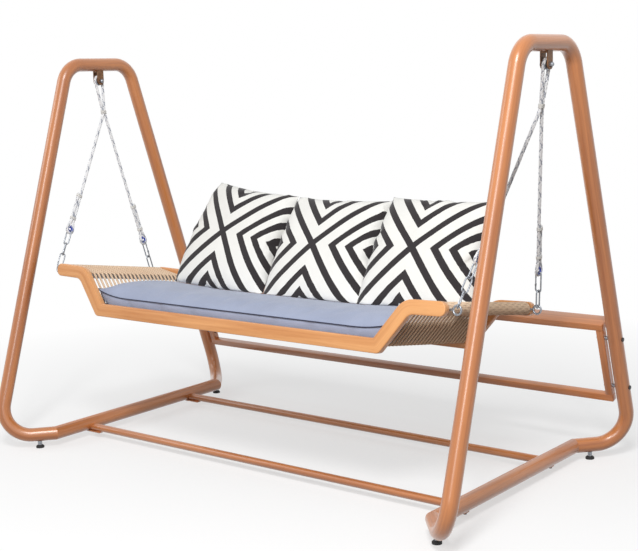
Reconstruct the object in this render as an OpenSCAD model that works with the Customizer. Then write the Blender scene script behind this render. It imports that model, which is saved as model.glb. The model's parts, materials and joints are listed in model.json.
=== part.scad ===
// Garden swing seat: two tube end frames, a rear panel, and a tilted cord seat hung on four rope legs.
// Millimetres. +X to the sitter's left hand as seen from the front right, +Y to the back, +Z up.
// The origin is on the floor, below the middle of the stand.

/* [Stand] */
// Overall width over the two end frames
stand_w = 2404; // [2300:4:2700]
// Overall height to the top of the end frames
stand_h = 1714; // [1650:2:1900]
// Outside diameter of the end-frame tube
tube_d = 60; // [54:1:66]
// Wall of the end-frame tube
tube_wall = 2.5; // [2:0.5:4]
// Half the distance between the two top corners of an end frame, before they are rounded
top_half = 186; // [160:1:240]
// Splay of each leg from the vertical, in degrees
leg_splay = 17.9; // [15:0.1:20]
// Centre-line radius of the top bends
top_bend_r = 110; // [90:1:140]
// Centre-line radius of the bottom bends
foot_bend_r = 120; // [100:1:130]
// Length of the inward run from the bottom bend's corner to the mitre
foot_run = 250; // [235:1:300]
// Angle by which the inward run turns away from the front-to-back line, in degrees
foot_turn = 40.6; // [36:0.1:46]
// Height of the levelling feet below the tubes
foot_h = 30; // [24:1:40]
// Distance of each foot from the mitre, along the inward run
foot_inset = 70; // [50:1:90]

/* [Stretchers and rear panel] */
// Diameter of the low stretchers
stretcher_d = 32; // [25:1:38]
// Distance of each stretcher from the middle, front and back
stretcher_y = 320; // [260:5:400]
// Height of the rear panel's top face, at its front edge
panel_top_z = 580; // [540:5:640]
// Height of the rear panel's lower edge, at its front
panel_low_z = 241; // [200:5:300]
// Depth of the flat top board
board_d = 80; // [60:2:100]
// Thickness of the top board
board_t = 28; // [22:1:34]
// Side of the square tube of the posts and the lower bar
post_d = 30; // [25:1:36]
// Length of the spacers between the posts and the legs
spacer_l = 14; // [8:1:24]

/* [Hanging] */
// Drop from the middle of the top bar to the hanger bolt
bolt_drop = 75; // [66:1:95]
// Diameter of the hanger bolt
bolt_d = 10; // [8:1:12]
// Diameter of the rope
rope_d = 12; // [10:0.5:13]
// Distance from the hanger bolt to the binding where the rope parts into two legs
binding_drop = 148; // [130:1:200]
// Diameter of the wire of the links and hooks
wire_d = 6; // [5:0.5:6.5]

/* [Seat frame] */
// Overall width of the seat over the arm tips
seat_w = 2038; // [1960:2:2060]
// Depth of the seat, front face to back face
seat_d = 640; // [600:5:700]
// Backward tilt of the hanging seat, in degrees
seat_tilt = 9.2; // [6:0.1:12]
// Height of the arms above the floor, at the front
arm_z = 793; // [760:1:840]
// Distance of the seat's front face in front of the hanger bolts, at arm height
seat_front = 442; // [420:1:460]
// Width of the seat rail's face
rail_w = 54; // [48:1:60]
// Thickness of the seat rails, front to back
rail_t = 28; // [24:1:32]
// Length of each level arm, from its tip to the bend
arm_l = 163; // [150:1:185]
// Run of each sloping side, measured across the seat
slope_run = 120; // [105:1:135]
// Depth of the seat well, from the arms to the bottom rail
well_depth = 152; // [140:1:165]
// Height of the backrest above the arms
back_h = 300; // [260:5:330]

/* [Cords and cushions] */
// Diameter of the seat cord
cord_d = 10; // [8:0.5:11]
// Number of passes of cord across the seat
seat_passes = 24; // [18:2:24]
// Number of passes of cord across the backrest
back_passes = 10; // [6:2:10]
// Width of each loose pillow
pillow_w = 490; // [440:2:494]
// Height of each loose pillow, settled under its own weight
pillow_h = 472; // [430:2:476]
// Thickness of each loose pillow at its middle
pillow_t = 140; // [110:2:144]
// Height of the seat cushion's side band
cushion_band = 52; // [44:1:60]
// Height that the seat cushion's top swells above its piping
cushion_crown = 64; // [40:1:66]

/* [Hidden] */

fit_gap = 0.3;
run_gap = 0.05;
weld_gap = 0.05;
wood = "#c9793f";
rail_wood = "#dd9a5b";
steel = "#b9bcc0";
smooth = 48;

// End frame
tube_r = tube_d / 2;
plane_x = stand_w / 2 - tube_r;
bar_z = stand_h - tube_r;
rail_z = foot_h + tube_r;
low_half = top_half + tan(leg_splay) * (bar_z - rail_z);
mitre_x = plane_x - foot_run * sin(foot_turn);
mitre_y = low_half - foot_run * cos(foot_turn);
foot_x = mitre_x + foot_inset * sin(foot_turn);
foot_y = mitre_y + foot_inset * cos(foot_turn);
foot_pad_d = 36;
foot_pad_h = 12;
foot_stud_d = 10;
foot_stud_up = 14;
groove_w = 3;
groove_deep = 1;

// Stretchers and rear panel
stretcher_wall = 2;
stretcher_z = foot_h + stretcher_d / 2;
tab_t = 5;
tab_reach = 44;
screw_d = 8;
screw_head_d = 14;
screw_head_h = 5;
post_x = plane_x - tube_r - spacer_l - post_d / 2;
panel_wall = 2;
panel_run = (panel_top_z - panel_low_z) / cos(leg_splay);
post_front = -post_d / 2;
panel_bolt_at = [0.2, 0.82];
cap_h = 4;

// Hanger
pivot = [plane_x, 0, bar_z - bolt_drop];
cheek_t = 5;
cheek_gap = 22;
cheek_w = 36;
bush_wall = 3;
bush_l = cheek_gap - 1;
bush_r = bolt_d / 2 + run_gap + bush_wall;
rope_r = rope_d / 2;

// Seat-local frame: x across, y from the front face to the back, z up from the middle of the arms
seat_org = [0, -seat_front, arm_z];
end_bar_d = 30;
end_bar_wall = 2;
end_bar_x = seat_w / 2 - rail_w / 2;
arm_tip_rise = 4;
eye_y = [36, seat_d - 36];
eye_r = 16;
eye_wire = 8;
eye_x = end_bar_x + end_bar_d / 2 + 38;
eye_z = -arm_tip_rise + 1;

function to_seat(p) =
  let (d = p - seat_org)
  [d[0], d[1] * cos(seat_tilt) - d[2] * sin(seat_tilt), d[1] * sin(seat_tilt) + d[2] * cos(seat_tilt)];
function from_seat(q) =
  seat_org + [q[0], q[1] * cos(seat_tilt) + q[2] * sin(seat_tilt), q[2] * cos(seat_tilt) - q[1] * sin(seat_tilt)];

// Rope plane: through the hanger bolt and the front-to-back line on which the eyes carry the rope legs
pivot_s = to_seat(pivot);
eye_hold = eye_r - eye_wire / 2;
lean = atan((pivot_s[0] - eye_x) / (pivot_s[2] - eye_z));
hold = [eye_x + eye_hold * sin(lean), eye_z + eye_hold * cos(lean)];
// The top thimble leans with the rope, and a little more as the seat sways, so its bore is wider than the bush
lean_most = lean + 3;
thimble_w = 14;
thimble_wall = 5.5;
thimble_bore = bush_r / cos(lean_most) + thimble_w / 2 * tan(lean_most) + fit_gap;
top_loop_r = thimble_bore + thimble_wall + rope_r;
plane_h = (pivot_s[2] - hold[1]) / cos(lean);
leg_foot = [[eye_y[0] - pivot_s[1], -plane_h], [eye_y[1] - pivot_s[1], -plane_h]];
// The binding hangs straight below the bolt, so it sits a little to the back in the tilted rope plane
binding_at = [binding_drop * sin(seat_tilt), -binding_drop * cos(lean) * cos(seat_tilt)];
strand = rope_r + 0.2;
binding_l = 26;
throat = 40;
tail_l = 140;
loop_r = 16;

// Links: wire-to-wire lengths, from the thimble down to the eye, front leg and rear leg
wire_r = wire_d / 2;
link_r = 11;
front_chain = [70, 58, 66];
rear_chain = [82, 72];
thimble_hole = 7.5;
// Gap where a leaning link hangs in a thimble or on an eye
hang_gap = 0.8;
// Extra slack under the left-hand eyes, which keeps the turned front hook clear of its eye
closed_gap = 0.5;
// Extra slack at the right-hand eyes, where the loop of rope, seat and frame is opened for the joints
open_gap = 1.2;

// Seat outline
slope_top = [end_bar_x - arm_l + rail_w / 2, -arm_tip_rise - 3];
slope_low = [slope_top[0] - slope_run, slope_top[1] - well_depth];
tip_mid = [seat_w / 2 - rail_w / 2, -arm_tip_rise + 1];
upper_bend_r = 85;
lower_bend_r = 45;
inner_corner_r = 14;
outer_corner_r = 24;

// Cross bars and cord
bar_d = 20;
bar_wall = 2;
cord_r = cord_d / 2;
cord_gap = 0.3;
bar_ring = bar_d / 2 + cord_r + cord_gap;
end_ring = end_bar_d / 2 + cord_r + cord_gap;
slope_dir = [slope_top[0] - slope_low[0], slope_top[1] - slope_low[1]] / norm(slope_top - slope_low);
slope_turn = atan2(slope_dir[1], slope_dir[0]);
corner_bar = slope_low + bar_ring / cos(slope_turn / 2) * [-sin(slope_turn / 2), cos(slope_turn / 2)];
arm_bar = slope_top + bar_ring / cos(slope_turn / 2) * [sin(slope_turn / 2), -cos(slope_turn / 2)];
bearer_x = corner_bar[0] / 2;
bearer_z = corner_bar[1] - bar_ring - cord_r - fit_gap - bar_d / 2;
cord_top_z = corner_bar[1] - bar_ring + cord_r;
first_pass_y = 48;
pass_pitch = (seat_d - 2 * first_pass_y) / (seat_passes - 1);
wrap_steps = 10;
bend_steps = 2;

// Backrest
back_tube_d = 25;
back_tube_wall = 2;
back_y = seat_d - rail_t / 2;
back_side_x = 700;
back_ring = back_tube_d / 2 + cord_r + cord_gap;
back_first_z = 66;
back_pitch = (back_h - 62 - back_first_z) / (back_passes - 1);

// Cushions
cushion_gap = 0.4;
cushion_y = [rail_t + 8, seat_d - 44];
cushion_half = slope_top[0] - 56;
// How far the cushion's ends climb the sloping sides
cushion_climb = 46;
pillow_x = [-416, 98, 604];
pillow_roll = [6.5, 0, 0];
pillow_lean = [23.5, 25, 25];
// Where each pillow's middle settled: in front of the seat's rear edge, and above the cushion's highest line
pillow_front = [133.4, 140.8, 150];
pillow_rise = [235.7, 209.1, 224.2];
settled_h = 472;
settled_t = 140;

// Vector helpers
function unit(v) = v / norm(v);
function lerp(a, b, t) = a + (b - a) * t;
function sum(v, i = 0) = i >= len(v) ? 0 : v[i] + sum(v, i + 1);

// Puts children in a frame whose x axis is ex and whose y axis is ey
module in_frame(at, ex, ey) {
  ez = cross(ex, ey);
  upright = norm([ex[0], ex[1]]) < 0.000001;
  turns = upright
    ? [0, -90 * sign(ex[2]), atan2(-ey[0], ey[1])]
    : [atan2(ey[2], ez[2]), asin(max(-1, min(1, -ex[2]))), atan2(ex[1], ex[0])];
  translate(at) rotate(turns) children();
}

module ring(r, wall, sides = smooth) {
  difference() {
    circle(r = r, $fn = sides);
    if (wall > 0) circle(r = r - wall, $fn = sides);
  }
}

// Corner data of a bent rod: the turn at an inner corner, and how far its tangents reach
function turn_at(p, i) = acos(max(-1, min(1, unit(p[i] - p[i - 1]) * unit(p[i + 1] - p[i]))));
function reach_at(p, radii, i) = (i <= 0 || i >= len(p) - 1) ? 0 : radii[i] * tan(turn_at(p, i) / 2);

// A round rod or tube along corners p, with bend radius radii[i] at corner i. Every piece is a true cylinder
// or a true torus sector. The straights lap the bends, and the bends are a hair slimmer inside them, so that
// they join as one solid.
module bent_rod(p, radii, r, wall = 0) {
  sides = wall > 0 ? 32 : 16;
  lap = 0.1;
  hair = 0.02;
  last = len(p) - 1;
  for (i = [0 : last - 1]) {
    along = unit(p[i + 1] - p[i]);
    side = unit(cross(along, abs(along[0]) < 0.9 ? [1, 0, 0] : [0, 0, 1]));
    from = reach_at(p, radii, i) - (i > 0 ? lap : 0);
    upto = norm(p[i + 1] - p[i]) - reach_at(p, radii, i + 1) + (i + 1 < last ? lap : 0);
    in_frame(p[i] + along * from, along, side)
      rotate([0, 90, 0]) linear_extrude(upto - from) ring(r, wall, sides);
  }
  for (i = [1 : 1 : last - 1]) {
    turn = turn_at(p, i);
    into = unit(p[i] - p[i - 1]);
    out = unit(p[i + 1] - p[i]);
    in_frame(p[i] - into * reach_at(p, radii, i), into, unit(out - into * (out * into)))
      translate([0, radii[i], 0]) rotate([0, 0, -90])
        rotate_extrude(angle = turn, $fn = smooth) translate([radii[i], 0])
          ring(r - hair, wall > 0 ? wall - 2 * hair : 0, sides);
  }
}

// End frames
module mirrored(side) {
  if (side < 0) mirror([1, 0, 0]) children();
  else children();
}

function hoop_corners() =
  let (over = foot_run + tube_d)
  [
    [plane_x - over * sin(foot_turn), -low_half + over * cos(foot_turn), rail_z],
    [plane_x, -low_half, rail_z],
    [plane_x, -top_half, bar_z],
    [plane_x, top_half, bar_z],
    [plane_x, low_half, rail_z],
    [plane_x - over * sin(foot_turn), low_half - over * cos(foot_turn), rail_z]
  ];

// Half space beyond the mitre at one end, on the side of the rail
module beyond_mitre(end, keep_rail) {
  size = 4 * tube_d;
  translate([mitre_x, end * mitre_y, rail_z])
    rotate([0, 0, end * (foot_turn / -2)])
      translate([-size / 2, (keep_rail ? 0 : -size) * end - (end < 0 ? size : 0), -size / 2])
        cube([size, size, size]);
}

module hoop() {
  radii = [0, foot_bend_r, top_bend_r, top_bend_r, foot_bend_r, 0];
  difference() {
    bent_rod(hoop_corners(), radii, tube_r, tube_wall);
    for (end = [-1, 1]) {
      beyond_mitre(end, false);
      translate([foot_x, end * foot_y, foot_h - tube_wall])
        cylinder(h = 3 * tube_wall, d = foot_stud_d + 2 * fit_gap, $fn = smooth);
    }
    panel_bolt_places() rotate([0, 90, 0])
      cylinder(h = tube_d + 2 * tube_wall, d = screw_d + 2 * fit_gap, center = true, $fn = smooth);
  }
}

module bottom_rail() {
  difference() {
    translate([mitre_x, -mitre_y - tube_d, rail_z]) rotate([-90, 0, 0])
      linear_extrude(2 * (mitre_y + tube_d))
        difference() {
          ring(tube_r, tube_wall);
          for (a = [-35, -10]) rotate([0, 0, a - 90]) translate([tube_r - groove_deep, -groove_w / 2])
            square([2 * groove_deep, groove_w]);
        }
    for (end = [-1, 1]) {
      beyond_mitre(end, true);
      translate([mitre_x, end * stretcher_y, foot_h - tube_wall])
        cylinder(h = 3 * tube_wall, d = screw_d + 2 * fit_gap, $fn = smooth);
    }
  }
}

module left_hoop() { color(wood) mirrored(-1) hoop(); }
module right_hoop() { color(wood) hoop(); }
module left_bottom_rail() { color(wood) mirrored(-1) bottom_rail(); }
module right_bottom_rail() { color(wood) bottom_rail(); }

// Feet
module corners_of_stand() {
  for (sx = [-1, 1], sy = [-1, 1]) translate([sx * foot_x, sy * foot_y, 0]) children();
}

module foot_pads() {
  color("#2b2b2b") corners_of_stand() difference() {
    union() {
      cylinder(h = foot_pad_h * 0.6, d = foot_pad_d, $fn = smooth);
      translate([0, 0, foot_pad_h * 0.6])
        cylinder(h = foot_pad_h * 0.4, d1 = foot_pad_d, d2 = foot_pad_d * 0.7, $fn = smooth);
    }
    translate([0, 0, foot_pad_h / 2]) cylinder(h = foot_pad_h, d = foot_stud_d + 2 * fit_gap, $fn = smooth);
  }
}

module foot_studs() {
  color(steel) corners_of_stand() {
    translate([0, 0, foot_pad_h / 2 + fit_gap])
      cylinder(h = foot_h + foot_stud_up - foot_pad_h / 2, d = foot_stud_d, $fn = smooth);
    translate([0, 0, foot_pad_h + fit_gap])
      cylinder(h = foot_h - foot_pad_h - 2 * fit_gap, d = foot_stud_d * 1.9, $fn = 6);
  }
}

// Stretchers: a tube between the rails with a flat tab under each end, screwed up into the rail
module stretcher(y) {
  half = mitre_x - tube_r;
  difference() {
    union() {
      translate([-mitre_x, y, stretcher_z]) rotate([0, 90, 0])
        linear_extrude(2 * mitre_x) ring(stretcher_d / 2, stretcher_wall);
      for (s = [-1, 1]) {
        translate([s * (half - 6), y, foot_h - tab_t / 2 - weld_gap])
          cube([2 * tab_reach, stretcher_d, tab_t], center = true);
        translate([s * (half - tab_reach + 6), y, foot_h + stretcher_wall / 2])
          cube([24, stretcher_d / 2, tab_t], center = true);
      }
    }
    for (s = [-1, 1]) {
      translate([s * mitre_x, y, rail_z]) rotate([90, 0, 0])
        cylinder(h = 2 * stretcher_d, r = tube_r + weld_gap, center = true, $fn = 96);
      translate([s * (mitre_x + tube_d), y, stretcher_z + stretcher_d / 4])
        cube([2 * tube_d, 2 * stretcher_d, 1.5 * stretcher_d], center = true);
      translate([s * mitre_x, y, 0]) cylinder(h = foot_h + 1, d = screw_d + 2 * fit_gap, $fn = smooth);
    }
  }
}

module front_stretcher() { color(wood) stretcher(-stretcher_y); }
module rear_stretcher() { color(wood) stretcher(stretcher_y); }

module stretcher_bolts() {
  under = foot_h - tab_t - weld_gap;
  color("#333333") for (sx = [-1, 1], sy = [-1, 1]) translate([sx * mitre_x, sy * stretcher_y, 0]) {
    translate([0, 0, under - screw_head_h]) cylinder(h = screw_head_h, d = screw_head_d, $fn = 6);
    translate([0, 0, under - screw_head_h]) cylinder(h = screw_head_h + tab_t + 12, d = screw_d, $fn = smooth);
  }
}

// Rear panel, in a frame that leans with the rear legs: x across, y to the back, z up the leg
module on_rear_leg() {
  z0 = panel_low_z;
  translate([0, top_half + tan(leg_splay) * (bar_z - z0), z0]) rotate([leg_splay, 0, 0])
    children();
}

module box_tube(size, wall, open) {
  difference() {
    cube(size);
    translate([open == 0 ? -1 : wall, open == 1 ? -1 : wall, open == 2 ? -1 : wall])
      cube([
        size[0] + (open == 0 ? 2 : -2 * wall),
        size[1] + (open == 1 ? 2 : -2 * wall),
        size[2] + (open == 2 ? 2 : -2 * wall)
      ]);
  }
}

post_low = post_d + weld_gap;
post_high = panel_run - board_t - weld_gap;

module panel_post() {
  on_rear_leg() difference() {
    translate([post_x - post_d / 2, post_front, post_low])
      box_tube([post_d, post_d, post_high - post_low], panel_wall, 2);
    for (t = panel_bolt_at) translate([post_x, 0, t * panel_run]) rotate([0, 90, 0])
      cylinder(h = 2 * post_d, d = screw_d + 2 * fit_gap, center = true, $fn = smooth);
  }
}

module left_panel_post() { color(wood) mirrored(-1) panel_post(); }
module right_panel_post() { color(wood) panel_post(); }

module panel_top_board() {
  half = post_x + post_d / 2;
  color(wood) on_rear_leg() translate([-half, post_front, panel_run - board_t])
    box_tube([2 * half, board_d, board_t], panel_wall, 3);
}

module panel_lower_bar() {
  half = post_x + post_d / 2;
  color(wood) on_rear_leg() translate([-half, post_front, 0]) box_tube([2 * half, post_d, post_d], panel_wall, 3);
}

// The bolt axes cross the middle line of the rear leg
module panel_bolt_places() {
  on_rear_leg() for (t = panel_bolt_at) translate([plane_x, 0, t * panel_run]) children();
}

module panel_bolts() {
  inner = post_x - post_d / 2;
  color("#333333") for (side = [-1, 1]) mirrored(side) on_rear_leg()
    for (t = panel_bolt_at) translate([0, 0, t * panel_run]) rotate([0, 90, 0]) {
      translate([0, 0, inner - screw_head_h - fit_gap]) cylinder(h = screw_head_h, d = screw_head_d, $fn = 6);
      translate([0, 0, inner - 1 - fit_gap])
        cylinder(h = plane_x + tube_r - inner + 1 + cap_h / 2, d = screw_d, $fn = smooth);
    }
}

module panel_spacers() {
  color(steel) for (side = [-1, 1]) mirrored(side) difference() {
    on_rear_leg() for (t = panel_bolt_at)
      translate([post_x + post_d / 2 + weld_gap, 0, t * panel_run]) rotate([0, 90, 0]) difference() {
        cylinder(h = spacer_l + 8, d = screw_d + 8, $fn = smooth);
        translate([0, 0, -1]) cylinder(h = spacer_l + 12, d = screw_d + 2 * fit_gap, $fn = smooth);
      }
    translate([plane_x, top_half + tan(leg_splay) * bar_z, 0]) rotate([leg_splay, 0, 0])
      translate([0, 0, -stand_h]) cylinder(h = 3 * stand_h, r = tube_r + weld_gap, $fn = 96);
  }
}

module bolt_caps() {
  color("#1c1c1c") for (side = [-1, 1]) mirrored(side) difference() {
    on_rear_leg() for (t = panel_bolt_at)
      translate([plane_x, 0, t * panel_run]) rotate([0, 90, 0]) difference() {
        cylinder(h = tube_r + cap_h, d = screw_head_d + 3, $fn = smooth);
        translate([0, 0, -1]) cylinder(h = tube_r + cap_h * 0.5 + 1 + fit_gap, d = screw_d + 2 * fit_gap, $fn = smooth);
      }
    translate([plane_x, top_half + tan(leg_splay) * bar_z, 0]) rotate([leg_splay, 0, 0])
      translate([0, 0, -stand_h]) cylinder(h = 3 * stand_h, r = tube_r + weld_gap, $fn = 96);
  }
}

// Hanger brackets: two cheeks and a web, welded under the top bar
module bracket() {
  color("#8a6a4c") difference() {
    union() {
      for (s = [-1, 1]) translate([plane_x + s * (cheek_gap + cheek_t) / 2, 0, pivot[2]]) rotate([0, 90, 0]) {
        cylinder(h = cheek_t, d = cheek_w, center = true, $fn = smooth);
        translate([-bolt_drop / 2, 0, 0]) cube([bolt_drop, cheek_w, cheek_t], center = true);
      }
      translate([plane_x, 0, bar_z - tube_r]) cube([cheek_gap + 2 * cheek_t, cheek_w, 2 * cheek_t], center = true);
    }
    translate([plane_x, 0, bar_z]) rotate([90, 0, 0])
      cylinder(h = 2 * cheek_w, r = tube_r + weld_gap, center = true, $fn = 96);
    translate(pivot) rotate([0, 90, 0])
      cylinder(h = 3 * cheek_gap, d = bolt_d + 2 * run_gap, center = true, $fn = smooth);
  }
}

module left_bracket() { mirrored(-1) bracket(); }
module right_bracket() { bracket(); }

module hanger_bolts() {
  head_at = cheek_gap / 2 + cheek_t + run_gap;
  color(steel) for (s = [-1, 1]) translate([s * plane_x, 0, pivot[2]]) rotate([0, 90, 0]) {
    translate([0, 0, -head_at - 2]) cylinder(h = 2 * head_at + 12, d = bolt_d, $fn = smooth);
    translate([0, 0, -head_at - bolt_d * 0.6]) cylinder(h = bolt_d * 0.6, d = bolt_d * 1.8, $fn = smooth);
  }
}

// Domed cap nuts
module hanger_nuts() {
  nut_at = cheek_gap / 2 + cheek_t + run_gap;
  color(steel) for (s = [-1, 1]) translate([s * plane_x + nut_at, 0, pivot[2]]) rotate([0, 90, 0]) difference() {
    union() {
      cylinder(h = bolt_d * 0.8, d = bolt_d * 1.9, $fn = 6);
      translate([0, 0, bolt_d * 0.6]) intersection() {
        sphere(r = bolt_d * 0.8, $fn = smooth);
        cylinder(h = bolt_d, d = bolt_d * 2, $fn = smooth);
      }
    }
    translate([0, 0, -1]) cylinder(h = 1 + 12 - 2 + fit_gap, d = bolt_d + 2 * run_gap, $fn = smooth);
  }
}

// Bearing bush that turns on the hanger bolt
module bush() {
  color("#e8e4da") translate(pivot) rotate([0, 90, 0]) difference() {
    cylinder(h = bush_l, r = bush_r, center = true, $fn = smooth);
    cylinder(h = 2 * bush_l, d = bolt_d + 2 * run_gap, center = true, $fn = smooth);
  }
}

module left_bush() { mirrored(-1) bush(); }
module right_bush() { bush(); }

// Rope-local frame: origin on the hanger bolt, x square to the rope plane, y to the back, z up the plane
module rope_plane() {
  translate(from_seat(pivot_s)) rotate([-seat_tilt, 0, 0]) rotate([0, lean, 0]) children();
}

// Heading of a leg, whose standing strand runs straight from beside the leg's line to its side of the binding
function leg_up(i) =
  let (
    side = i == 0 ? 1 : -1,
    b = binding_point(-side * strand, -binding_l / 2),
    w = [b[1], b[2]] - leg_foot[i],
    tilt = atan2(w[0], w[1]) - side * asin(strand / norm(w))
  )
  [sin(tilt), cos(tilt)];
function chain_of(i) = i == 0 ? front_chain : rear_chain;
// Distance from the eye's hold up to the middle of the lower thimble
function chain_length(i, slack) =
  let (c = chain_of(i))
  thimble_hole - 2 * wire_r - 2 * hang_gap + sum(c) - (len(c) - 1) * (wire_d + fit_gap) - slack;

// Leg-local frame: origin at the eye's hold, y across the leg, z up the leg
module on_leg(i) {
  u = leg_up(i);
  translate([0, leg_foot[i][0], leg_foot[i][1]]) rotate([atan2(-u[0], u[1]), 0, 0]) children();
}
function leg_point(i, y, z) =
  let (u = leg_up(i))
  [0, leg_foot[i][0] + y * u[1] + z * u[0], leg_foot[i][1] - y * u[0] + z * u[1]];

// Tangent angle and corner of a loop of radius r whose two strands meet at distance d from its middle
function loop_tilt(r, d) = asin(r / norm([strand, d])) - atan(strand / d);
function loop_corner(r, d) = strand + (d + r) * tan(loop_tilt(r, d));

// The whole rope of one side: tail, lower loop, leg, binding, top loop, leg, lower loop, tail
binding_up = unit(-binding_at);
function binding_point(y, z) =
  [0, binding_at[0] + y * binding_up[1] + z * binding_up[0], binding_at[1] - y * binding_up[0] + z * binding_up[1]];
function rope_corners(slack) =
  let (
    m0 = chain_length(0, slack), m1 = chain_length(1, slack),
    w = loop_corner(loop_r, throat),
    above = norm(binding_at) - binding_l / 2,
    t = loop_corner(top_loop_r, above)
  )
  [
    leg_point(0, -strand, m0 + throat + tail_l), leg_point(0, -strand, m0 + throat),
    leg_point(0, -w, m0 - loop_r), leg_point(0, w, m0 - loop_r),
    leg_point(0, strand, m0 + throat),
    binding_point(-strand, -binding_l / 2), binding_point(-strand, binding_l / 2),
    binding_point(-t, norm(binding_at) + top_loop_r), binding_point(t, norm(binding_at) + top_loop_r),
    binding_point(strand, binding_l / 2), binding_point(strand, -binding_l / 2),
    leg_point(1, -strand, m1 + throat),
    leg_point(1, -w, m1 - loop_r), leg_point(1, w, m1 - loop_r),
    leg_point(1, strand, m1 + throat), leg_point(1, strand, m1 + throat + tail_l)
  ];

module rope(slack) {
  bend = 24;
  radii = [
    0, bend, loop_r, loop_r, bend, bend, bend,
    top_loop_r, top_loop_r,
    bend, bend, bend, loop_r, loop_r, bend, 0
  ];
  color("#eceae4") rope_plane() bent_rod(rope_corners(slack), radii, rope_r);
}

module left_rope() { mirrored(-1) rope(closed_gap); }
module right_rope() { rope(open_gap); }

// Grooved thimble on the bush
module top_thimble() {
  color(steel) rope_plane() rotate([0, 90, 0]) rotate_extrude($fn = 96) difference() {
    translate([thimble_bore, -thimble_w / 2]) square([top_loop_r - thimble_bore - 1, thimble_w]);
    translate([top_loop_r, 0]) circle(r = rope_r + fit_gap, $fn = smooth);
  }
}

module left_top_thimble() { mirrored(-1) top_thimble(); }
module right_top_thimble() { top_thimble(); }

// Blue thimbles in the lower loops, drawn to a point between the parting strands
module lower_thimble() {
  lip = 6.5;
  eye_half = 2.2;
  nose = 0.52 * throat;
  half = 4;
  rotate([0, 90, 0]) rotate_extrude($fn = 96) difference() {
    polygon([
      [thimble_hole, -eye_half], [loop_r - 1, -lip], [loop_r - 1, lip], [thimble_hole, eye_half]
    ]);
    translate([loop_r, 0]) circle(r = rope_r + fit_gap, $fn = smooth);
  }
  rotate([90, 0, 90]) linear_extrude(3, center = true)
    polygon([[-half, thimble_hole + 1], [half, thimble_hole + 1], [0.5, nose], [-0.5, nose]]);
}

module lower_thimbles(slack) {
  color("#2f55c8") rope_plane() for (i = [0, 1]) on_leg(i) translate([0, 0, chain_length(i, slack)])
    lower_thimble();
}

module left_thimbles() { mirrored(-1) lower_thimbles(closed_gap); }
module right_thimbles() { lower_thimbles(open_gap); }

// Bindings: where the strands part, above each lower loop, and at the end of each tail
module binding_sleeve(length) {
  wall = 1.6;
  difference() {
    linear_extrude(length, center = true) {
      for (s = [-1, 1]) translate([0, s * strand]) circle(r = rope_r + fit_gap + wall, $fn = smooth);
      square([2 * (rope_r + fit_gap + wall), 2 * strand], center = true);
    }
    for (s = [-1, 1]) translate([0, s * strand, 0])
      cylinder(h = 2 * length, r = rope_r + fit_gap, center = true, $fn = smooth);
  }
}

module bindings(slack) {
  short = 12;
  color("#f4f2ee") rope_plane() {
    translate([0, binding_at[0], binding_at[1]]) rotate([atan2(-binding_up[0], binding_up[1]), 0, 0])
      binding_sleeve(binding_l * 0.6);
    for (i = [0, 1]) on_leg(i) for (z = [throat + 16, throat + tail_l - short])
      translate([0, 0, chain_length(i, slack) + z]) binding_sleeve(short);
  }
}

module left_bindings() { mirrored(-1) bindings(closed_gap); }
module right_bindings() { bindings(open_gap); }

// Links and hooks hang in turn; each turns from the last so that the lowest stands square to the eye
function link_low(i, k) =
  let (c = chain_of(i))
  -wire_r - hang_gap + sum([for (j = [k + 1 : 1 : len(c) - 1]) c[j] - (wire_d + fit_gap)]);
function link_twist(i, k) = i == 0 ? 67.5 * (k + 1) : 90 * (k + 1);

module link(length) {
  half = length / 2 - link_r;
  for (s = [-1, 1]) {
    translate([0, s * link_r, 0]) cylinder(h = 2 * half, r = wire_r, center = true, $fn = 24);
    translate([0, 0, s * half]) rotate([0, 90, 0]) rotate([0, 0, s > 0 ? 90 : -90])
      rotate_extrude(angle = 180, $fn = smooth) translate([link_r, 0]) circle(r = wire_r, $fn = 24);
  }
}

module on_link(i, k, slack) {
  rope_plane() on_leg(i)
    translate([0, 0, chain_of(i)[k] / 2 - slack + link_low(i, k)]) rotate([0, 0, link_twist(i, k)]) children();
}

hook_index = [2, 0];

module links(slack) {
  color(steel) for (i = [0, 1]) for (k = [0 : len(chain_of(i)) - 1])
    if (k != hook_index[i]) on_link(i, k, slack) link(chain_of(i)[k]);
}

module left_links() { mirrored(-1) links(closed_gap); }
module right_links() { links(open_gap); }

// Snap hook: a link with a sprung gate in one long side, hinged on a small cross pin
gate_r = wire_r - 0.5;
gate_half = 13;
pin_r = 1;
lug_t = 1.2;
lug_at = gate_r + 0.15 + lug_t / 2;

module snap_hook(length) {
  difference() {
    link(length);
    translate([0, link_r, 0])
      cube([4 * wire_r, 2.6 * wire_r, 2 * gate_half + 2 * fit_gap + 2], center = true);
  }
  for (s = [-1, 1]) difference() {
    translate([s * lug_at, link_r, -gate_half - 0.5]) cube([lug_t, 1.6 * gate_r, 9], center = true);
    translate([0, link_r, -gate_half + 2.2]) rotate([0, 90, 0])
      cylinder(h = 6 * wire_r, r = pin_r + run_gap, center = true, $fn = 24);
  }
}

module gate(length) {
  translate([0, link_r, 0]) difference() {
    translate([0, 0, -gate_half]) cylinder(h = 2 * gate_half + 1 - fit_gap, r = gate_r, $fn = 24);
    translate([0, 0, -gate_half + 2.2]) rotate([0, 90, 0])
      cylinder(h = 4 * wire_r, r = pin_r + run_gap, center = true, $fn = 24);
  }
}

module gate_pin() {
  translate([0, link_r, -gate_half + 2.2]) rotate([0, 90, 0])
    cylinder(h = 2 * lug_at + lug_t + 0.6, r = pin_r, center = true, $fn = 24);
}

module hooks(slack) {
  color(steel) for (i = [0, 1]) on_link(i, hook_index[i], slack) snap_hook(chain_of(i)[hook_index[i]]);
}

module gate_pins(slack) {
  color("#8d9095") for (i = [0, 1]) on_link(i, hook_index[i], slack) gate_pin();
}

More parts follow.
